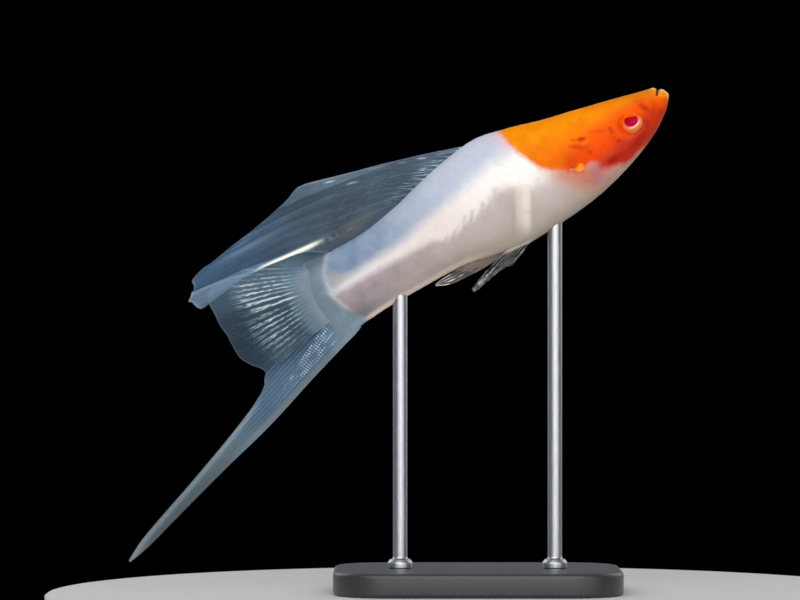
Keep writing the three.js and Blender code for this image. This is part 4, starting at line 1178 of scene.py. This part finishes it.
def skin_material():
    k = Nodes("pearl_and_orange_skin")
    cap, height, forward = k.mark("cap"), k.mark("height"), k.mark("forward")
    fine = k.noise(1.6, 4, 0.6)
    coarse = k.noise(0.30, 3, 0.5)
    streaks = k.noise(0.9, 3, 0.55, stretch=(0.30, 1.0, 1.0))

    def frayed(name, much=3.5):
        """A mark whose soft edge is broken up by long streaks."""
        m = k.mark(name)
        edge = k.times(m, k.plus(k.times(m, -1.0), 1.0))
        return k.plus(m, k.times(k.times(k.plus(streaks, -0.5), much), edge))

    # flank: greyish pink at the tail, warmer and paler forward; a peach band along the belly's lower edge is partly
    # painted light from below
    low = k.mix(k.smooth(forward, 0.05, 0.42), srgb(142, 131, 133), srgb(196, 182, 176))
    low = k.mix(k.smooth(forward, 0.46, 0.60), low, srgb(200, 188, 182))
    low = k.mix(k.times(k.smooth(k.mark("low"), 0.40, 0.15), k.smooth(forward, 0.30, 0.10)), low, srgb(162, 147, 153))
    low = k.mix(k.smooth(k.mark("low"), 0.35, 0.9), low, k.mix(k.smooth(forward, 0.1, 0.5), srgb(164, 152, 148), srgb(190, 176, 160)))
    low = k.mix(k.times(k.smooth(coarse, 0.40, 0.62), 0.20), low, srgb(206, 188, 188))
    low = k.mix(k.times(k.smooth(k.mark("low"), 0.40, 0.75), k.smooth(forward, 0.13, 0.03)), low, srgb(114, 115, 121))
    # painted light from below along the belly's lower edge, over its warm colour
    low = k.mix(k.mark("tan"), low, srgb(240, 216, 196))
    # the pearly band with its painted sheen, whitest where bright paints a highlight
    pearl = k.mix(k.mark("bright"), k.mix(k.smooth(forward, 0.0, 0.28), srgb(230, 222, 225), srgb(236, 223, 218)), srgb(252, 247, 243))
    base = k.mix(frayed("pearl", 2.5), low, pearl)
    blue = k.mix(k.smooth(forward, 0.06, 0.46), srgb(112, 136, 165), srgb(193, 199, 216))
    blue = k.mix(k.times(k.smooth(coarse, 0.35, 0.65), 0.12), blue, srgb(224, 218, 226))
    base = k.mix(frayed("back", 2.0), base, blue)
    base = k.mix(k.times(k.mark("wedge"), 0.75), base, srgb(186, 176, 174))
    base = k.mix(k.times(k.mark("flush"), 0.9), base, k.mix(k.smooth(height, -0.1, 0.3), k.mix(k.mark("violet"), srgb(204, 110, 78), srgb(184, 104, 114)), srgb(232, 186, 198)))
    base = k.mix(k.mark("end"), base, flesh_tint(k, forward))
    base = k.mix(k.times(k.mark("arc"), 0.45), base, srgb(214, 212, 212))
    # the cap: amber above, orange on the flank, deeper below, red on cheek and throat
    amber = k.mix(k.smooth(height, 0.05, 0.50), srgb(246, 114, 0), srgb(247, 145, 0))
    amber = k.mix(k.smooth(forward, 0.80, 0.93), amber, srgb(216, 130, 14))
    orange = k.mix(k.mark("deep"), amber, k.mix(k.smooth(height, -0.35, 0.05), srgb(226, 64, 0), srgb(238, 86, 0)))
    orange = k.mix(k.times(k.smooth(coarse, 0.40, 0.62), 0.22), orange, srgb(218, 70, 2))
    orange = k.mix(k.times(k.smooth(fine, 0.45, 0.75), 0.10), orange, srgb(250, 146, 6))
    # painted shade in the head's hollows, with some darker mottling of its own
    orange = k.mix(k.mark("shade"), orange, srgb(186, 40, 4))
    coral = k.mix(k.smooth(coarse, 0.35, 0.65), srgb(214, 70, 46), srgb(194, 50, 32))
    coral = k.mix(k.smooth(forward, 0.90, 0.955), coral, srgb(202, 54, 14))
    orange = k.mix(k.times(frayed("red", 2.5), 0.9), orange, coral)
    orange = k.mix(k.times(frayed("wine", 2.5), k.smooth(coarse, 0.75, 0.35, 0.6, 1.0)), orange, k.mix(k.smooth(forward, 0.885, 0.905), srgb(168, 24, 18), srgb(156, 32, 2)))
    # golden spots, and a painted highlight on the gill cover
    orange = k.mix(k.mark("gold"), orange, srgb(246, 152, 24))
    orange = k.mix(k.times(k.mark("jaw"), 0.65), orange, srgb(176, 92, 80))
    ragged = k.plus(cap, k.times(k.plus(coarse, -0.5), 1.5))
    ragged = k.plus(ragged, k.times(k.plus(fine, -0.5), 0.6))
    colour = k.mix(k.smooth(ragged, -0.75, 0.50), base, orange)
    # painted highlights by the pectoral fin's root and on the upper lip, and the pale snout front
    colour = k.mix(k.times(k.mark("cream"), 0.9), colour, srgb(240, 204, 146))
    # dark is the shade painted into the head's grooves, pores and mouth slit, and under the upper lid
    crease = k.mix(k.smooth(cap, -0.4, 0.4), srgb(110, 76, 66), k.mix(k.smooth(forward, 0.955, 0.97), srgb(168, 30, 2), srgb(64, 12, 2)))
    colour = k.mix(k.times(k.mark("dark"), 0.85), colour, crease)
    colour = k.mix(k.times(k.mark("rim"), 0.03), colour, srgb(110, 90, 90))
    tone = k.plus(k.times(k.mark("tone"), 0.5), 0.5)
    colour = k.mix(k.times(tone, 0.05), colour, srgb(0, 0, 0))
    k.set("Base Color", colour)
    k.set("Roughness", k.smooth(fine, 0.2, 0.8, 0.40, 0.52))
    k.set("IOR", 1.38)
    k.set("Specular IOR Level", 0.07)
    k.set("Subsurface Weight", 0.10)
    k.set("Subsurface Radius", (0.0010, 0.0006, 0.0005))
    k.set("Subsurface Scale", 1.0)
    k.bump(k.plus(fine, k.times(k.noise(6.0, 2, 0.5), 0.4)), 0.08, 0.00010)
    return k.m


def fin_material(name, membrane, ray, veil, clear, dense, flesh=None, warm=(250, 236, 206), cloudy=0.0, misty=0.05):
    """Clear membrane between pale rays. clear and dense are the alpha of one wall of membrane and of a ray; the veil is a paler part.
    cloudy and misty are what the marks veil and cloud add to the alpha. Without a flesh colour the roots are as the tail's end."""
    k = Nodes(name)
    streak = k.noise(1.0, 4, 0.6, stretch=(0.22, 1.0, 1.6))
    cloud = k.noise(0.14, 2, 0.5)
    rays, fold, rim, root = k.mark("ray"), k.mark("fold"), k.mark("rim"), k.mark("root")
    colour = k.mix(k.smooth(cloud, 0.38, 0.62), srgb(*membrane), srgb(*[min(255, c * 1.10) for c in membrane]))
    colour = k.mix(k.mark("veil"), colour, srgb(*veil))
    colour = k.mix(k.smooth(rays, 0.0, 0.8), colour, srgb(*ray))
    colour = k.mix(k.times(k.mark("warm"), 0.8), colour, srgb(*warm))
    # painted highlights along the rolled edge of the dorsal fin, and its painted glints and sheen
    colour = k.mix(k.smooth(fold, 0.0, 0.7), colour, srgb(250, 248, 232))
    colour = k.mix(k.times(rim, 0.6), colour, srgb(*ray))
    colour = k.mix(k.smooth(root, 0.0, 0.8), colour, srgb(*flesh) if flesh else flesh_tint(k))
    k.set("Base Color", colour)
    a = k.plus(clear, k.times(k.plus(streak, -0.5), clear * 0.25))
    a = k.plus(a, k.times(k.mark("veil"), cloudy))
    a = k.plus(a, k.times(k.mark("cloud"), misty))
    a = k.plus(a, k.times(rays, dense))
    a = k.plus(a, k.times(fold, 0.80))
    a = k.plus(a, k.times(rim, 0.30))
    a = k.plus(a, k.times(k.mark("warm"), 0.10))
    a = k.plus(a, k.times(root, 0.90), clamp=True)
    k.set("Alpha", a)
    k.set("Roughness", 0.40)
    k.set("IOR", 1.36)
    k.set("Specular IOR Level", 0.30)
    k.bump(streak, 0.015, 0.00010)
    return k.m


def eye_material():
    k = Nodes("albino_eye")
    grain = k.noise(9.0, 3, 0.6)
    # the iris is pale pink below the pupil and salmon above it, partly as the painted shade of the upper lid
    iris = k.mix(k.mark("low"), srgb(236, 104, 72), srgb(254, 206, 188))
    iris = k.mix(k.times(k.smooth(grain, 0.35, 0.7), 0.12), iris, srgb(255, 236, 226))
    iris = k.mix(k.mark("outer"), iris, k.mix(k.smooth(grain, 0.4, 0.6), srgb(230, 118, 54), srgb(236, 138, 84)))
    # the top of the pupil is painted darker, as the shade under the upper lid
    pupil = k.mix(k.mark("high"), srgb(180, 0, 44), srgb(156, 0, 10))
    colour = k.mix(k.mark("pupil"), iris, pupil)
    colour = k.mix(k.times(k.mark("edge"), 0.35), colour, srgb(150, 20, 40))
    k.set("Base Color", colour)
    k.set("Roughness", 0.35)
    k.set("IOR", 1.38)
    k.set("Specular IOR Level", 0.02)
    return k.m


def cornea_material():
    k = Nodes("clear_cornea")
    clear = k.t.nodes.new("ShaderNodeBsdfTransparent")
    shine = k.t.nodes.new("ShaderNodeBsdfGlossy")
    shine.inputs["Roughness"].default_value = 0.10
    fresnel = k.t.nodes.new("ShaderNodeFresnel")
    fresnel.inputs["IOR"].default_value = 1.07
    mix = k.t.nodes.new("ShaderNodeMixShader")
    k.link(fresnel.outputs[0], mix.inputs[0])
    k.link(clear.outputs[0], mix.inputs[1])
    k.link(shine.outputs[0], mix.inputs[2])
    k.t.nodes.remove(k.bsdf)
    k.link(mix.outputs[0], k.out.inputs["Surface"])
    return k.m


def satin_material():
    k = Nodes("dark_satin_enamel")
    grain = k.noise(2.2, 5, 0.6)
    k.set("Base Color", k.mix(k.smooth(grain, 0.3, 0.7), srgb(30, 32, 35), srgb(42, 44, 48)))
    k.set("Roughness", k.smooth(grain, 0.2, 0.8, 0.36, 0.50))
    k.set("Coat Weight", 0.25)
    k.set("Coat Roughness", 0.22)
    k.bump(k.noise(7.0, 2, 0.5), 0.05, 0.00008)
    return k.m


def steel_material():
    k = Nodes("brushed_steel_rod")
    brush = k.noise(3.0, 4, 0.65, stretch=(6.0, 6.0, 0.12), turn=0.0)
    k.set("Base Color", k.mix(k.smooth(brush, 0.3, 0.7), srgb(150, 153, 158), srgb(190, 192, 195)))
    k.set("Metallic", 1.0)
    k.set("Roughness", k.smooth(brush, 0.2, 0.8, 0.26, 0.42))
    k.bump(brush, 0.08, 0.00006)
    return k.m


def floor_material():
    k = Nodes("pale_floor")
    grain = k.noise(0.9, 4, 0.6, turn=0.0)
    k.set("Base Color", k.mix(k.smooth(grain, 0.3, 0.7), srgb(200, 200, 199), srgb(208, 208, 206)))
    k.set("Roughness", 0.75)
    return k.m


# ------------------------------------------------------------------ build
def wear(ob, material, slot, *nodes):
    ob.data.materials.append(material)
    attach(ob, "root")
    if nodes:
        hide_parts(*nodes)
    return ob


skin_look = skin_material()
wear(make_skin(), skin_look, "pearl_skin", "head", "trunk", "tail")
wear(make_scales(1), skin_look, "pearl_skin")
wear(make_scales(-1), skin_look, "pearl_skin")

dorsal_look = fin_material("dorsal_membrane", (126, 150, 172), (198, 212, 228), (104, 146, 190), 0.112, 0.50, (176, 188, 204), warm=(206, 194, 146))
flap_look = fin_material("dorsal_fold_membrane", (142, 172, 196), (190, 206, 226), (142, 174, 198), 0.13, 0.20, (176, 188, 204))
tail_look = fin_material("tail_membrane", (104, 132, 152), (212, 226, 234), (94, 120, 150), 0.085, 0.58, misty=0.13)
sword_look = fin_material("sword_membrane", (98, 132, 162), (196, 216, 230), (124, 142, 152), 0.10, 0.52, warm=(180, 164, 164), misty=0.13)
pelvic_look = fin_material("pelvic_membrane", (96, 94, 96), (220, 220, 226), (130, 134, 140), 0.012, 0.32, (196, 182, 172))
pectoral_look = fin_material("pectoral_membrane", (238, 226, 216), (255, 244, 234), (255, 244, 234), 0.006, 0.05, (248, 130, 30), cloudy=0.31, misty=0.06)
gono_look = fin_material("gonopodium_skin", (80, 73, 72), (214, 210, 208), (84, 78, 78), 0.50, 0.50, (112, 97, 90), warm=(176, 146, 130))

wear(make_fin("dorsal_fin_web", dorsal_at, dorsal_lean, dorsal_thick, dorsal_paint, 273, 177), dorsal_look, "fin", "dorsal_fin")
wear(make_fin("dorsal_fin_fold", flap_at, flap_lean, flap_thick, flap_paint, 61, 121), flap_look, "fin")
wear(make_fin("tail_fan_web", fan_at, fan_lean, fan_thick, fan_paint, 289, 165), tail_look, "fin", "caudal_fin")
wear(make_fin("sword_web", sword_at, sword_lean, sword_thick, sword_paint, 81, 521), sword_look, "fin", "sword")
for name, side in (("right", -1), ("left", 1)):
    wear(make_fin(f"pectoral_{name}_web", pectoral_at, pectoral_flare(side), plain_thick(12, 0.06, 0.09, root=0.35, **PECTORAL_RAYS), pectoral_paint, 121, 73),
         pectoral_look, "fin", f"pectoral_fin_{name}")
    wear(make_fin(f"pelvic_{name}_web", pelvic_at(0.35 if side > 0 else 0.0), pelvic_lean(side), plain_thick(6, 0.10, 0.26, root=0.4, **PELVIC_RAYS),
                  plain_paint(6, rim=0.3, root=0.22, **PELVIC_RAYS), 73, 81), pelvic_look, "fin", f"pelvic_fin_{name}")
wear(make_fin("gonopodium_rays", gono_at, lambda U, V, S, H: np.zeros_like(S), gono_thick, gono_paint, 49, 121), gono_look, "fin", "gonopodium")

eye_look, cornea_look = eye_material(), cornea_material()
for name, side in (("right", -1), ("left", 1)):
    wear(make_eye(side), eye_look, "eye", f"eye_{name}")
    wear(make_cornea(side), cornea_look, "eye")

wear(make_base(), satin_material(), "stand_base", "stand_base")
steel = steel_material()
wear(make_rod("rod_rear", -ROD["reach"]), steel, "stand_rod", "stand_rod_rear")
wear(make_rod("rod_front", ROD["reach"]), steel, "stand_rod", "stand_rod_front")

# ------------------------------------------------------------------ floor, light, camera
floor = lathe("floor", [(0, -1.2), (71.4, -1.2), (72, -0.9), (72, -0.35), (71.6, -0.05), (71.2, 0.0), (0, 0.0)], 0.0, 160)
floor.data.materials.append(floor_material())

PX = 65 / 389.7  # mm per pixel of the picture, in the plane of the fish
camera = bpy.data.cameras.new("camera")
camera.lens, camera.sensor_width = 200, 36
camera.clip_start, camera.clip_end = 0.05, 5
cam = bpy.data.objects.new("camera", camera)
cam.location = ((400 - 330) * PX * MM + ROOT_X * MM, -800 * PX * 200 / 36 * MM, (592 - 300) * PX * MM)
cam.rotation_euler = (math.pi / 2, 0, 0)
bpy.context.scene.collection.objects.link(cam)
bpy.context.scene.camera = cam


def lamp(name, at, to, size, watts, colour=(1, 1, 1)):
    d = bpy.data.lights.new(name, "AREA")
    d.shape = "DISK"
    d.size = size
    d.energy = watts
    d.color = colour
    o = bpy.data.objects.new(name, d)
    o.location = at
    o.rotation_euler = (Vector(to) - Vector(at)).to_track_quat("-Z", "Y").to_euler()
    bpy.context.scene.collection.objects.link(o)


MIDDLE = (0.004, 0.0, 0.055)
lamp("key", (-0.12, -0.72, 0.50), MIDDLE, 1.30, 8.6, (1.0, 0.985, 0.96))
lamp("front", (0.45, -0.80, 0.10), MIDDLE, 1.00, 3.4, (1.0, 0.99, 0.98))
lamp("back_left", (-0.70, 0.70, 0.55), MIDDLE, 0.90, 2.8, (0.93, 0.96, 1.0))
lamp("back_right", (0.70, 0.65, 0.45), MIDDLE, 0.90, 2.4, (1.0, 0.97, 0.94))

world = bpy.data.worlds.new("studio")
bpy.context.scene.world = world
world.use_nodes = True
t = world.node_tree
t.nodes.clear()
out = t.nodes.new("ShaderNodeOutputWorld")
soft, dark = t.nodes.new("ShaderNodeBackground"), t.nodes.new("ShaderNodeBackground")
soft.inputs[0].default_value, soft.inputs[1].default_value = (0.88, 0.93, 1.0, 1), 0.24
dark.inputs[0].default_value, dark.inputs[1].default_value = (0.0, 0.0, 0.0, 1), 1.0
mix = t.nodes.new("ShaderNodeMixShader")
rays = t.nodes.new("ShaderNodeLightPath")
t.links.new(rays.outputs["Is Camera Ray"], mix.inputs[0])
t.links.new(soft.outputs[0], mix.inputs[1])
t.links.new(dark.outputs[0], mix.inputs[2])
t.links.new(mix.outputs[0], out.inputs[0])

bpy.context.scene.view_settings.view_transform = "Standard"
bpy.context.scene.view_settings.look = "None"
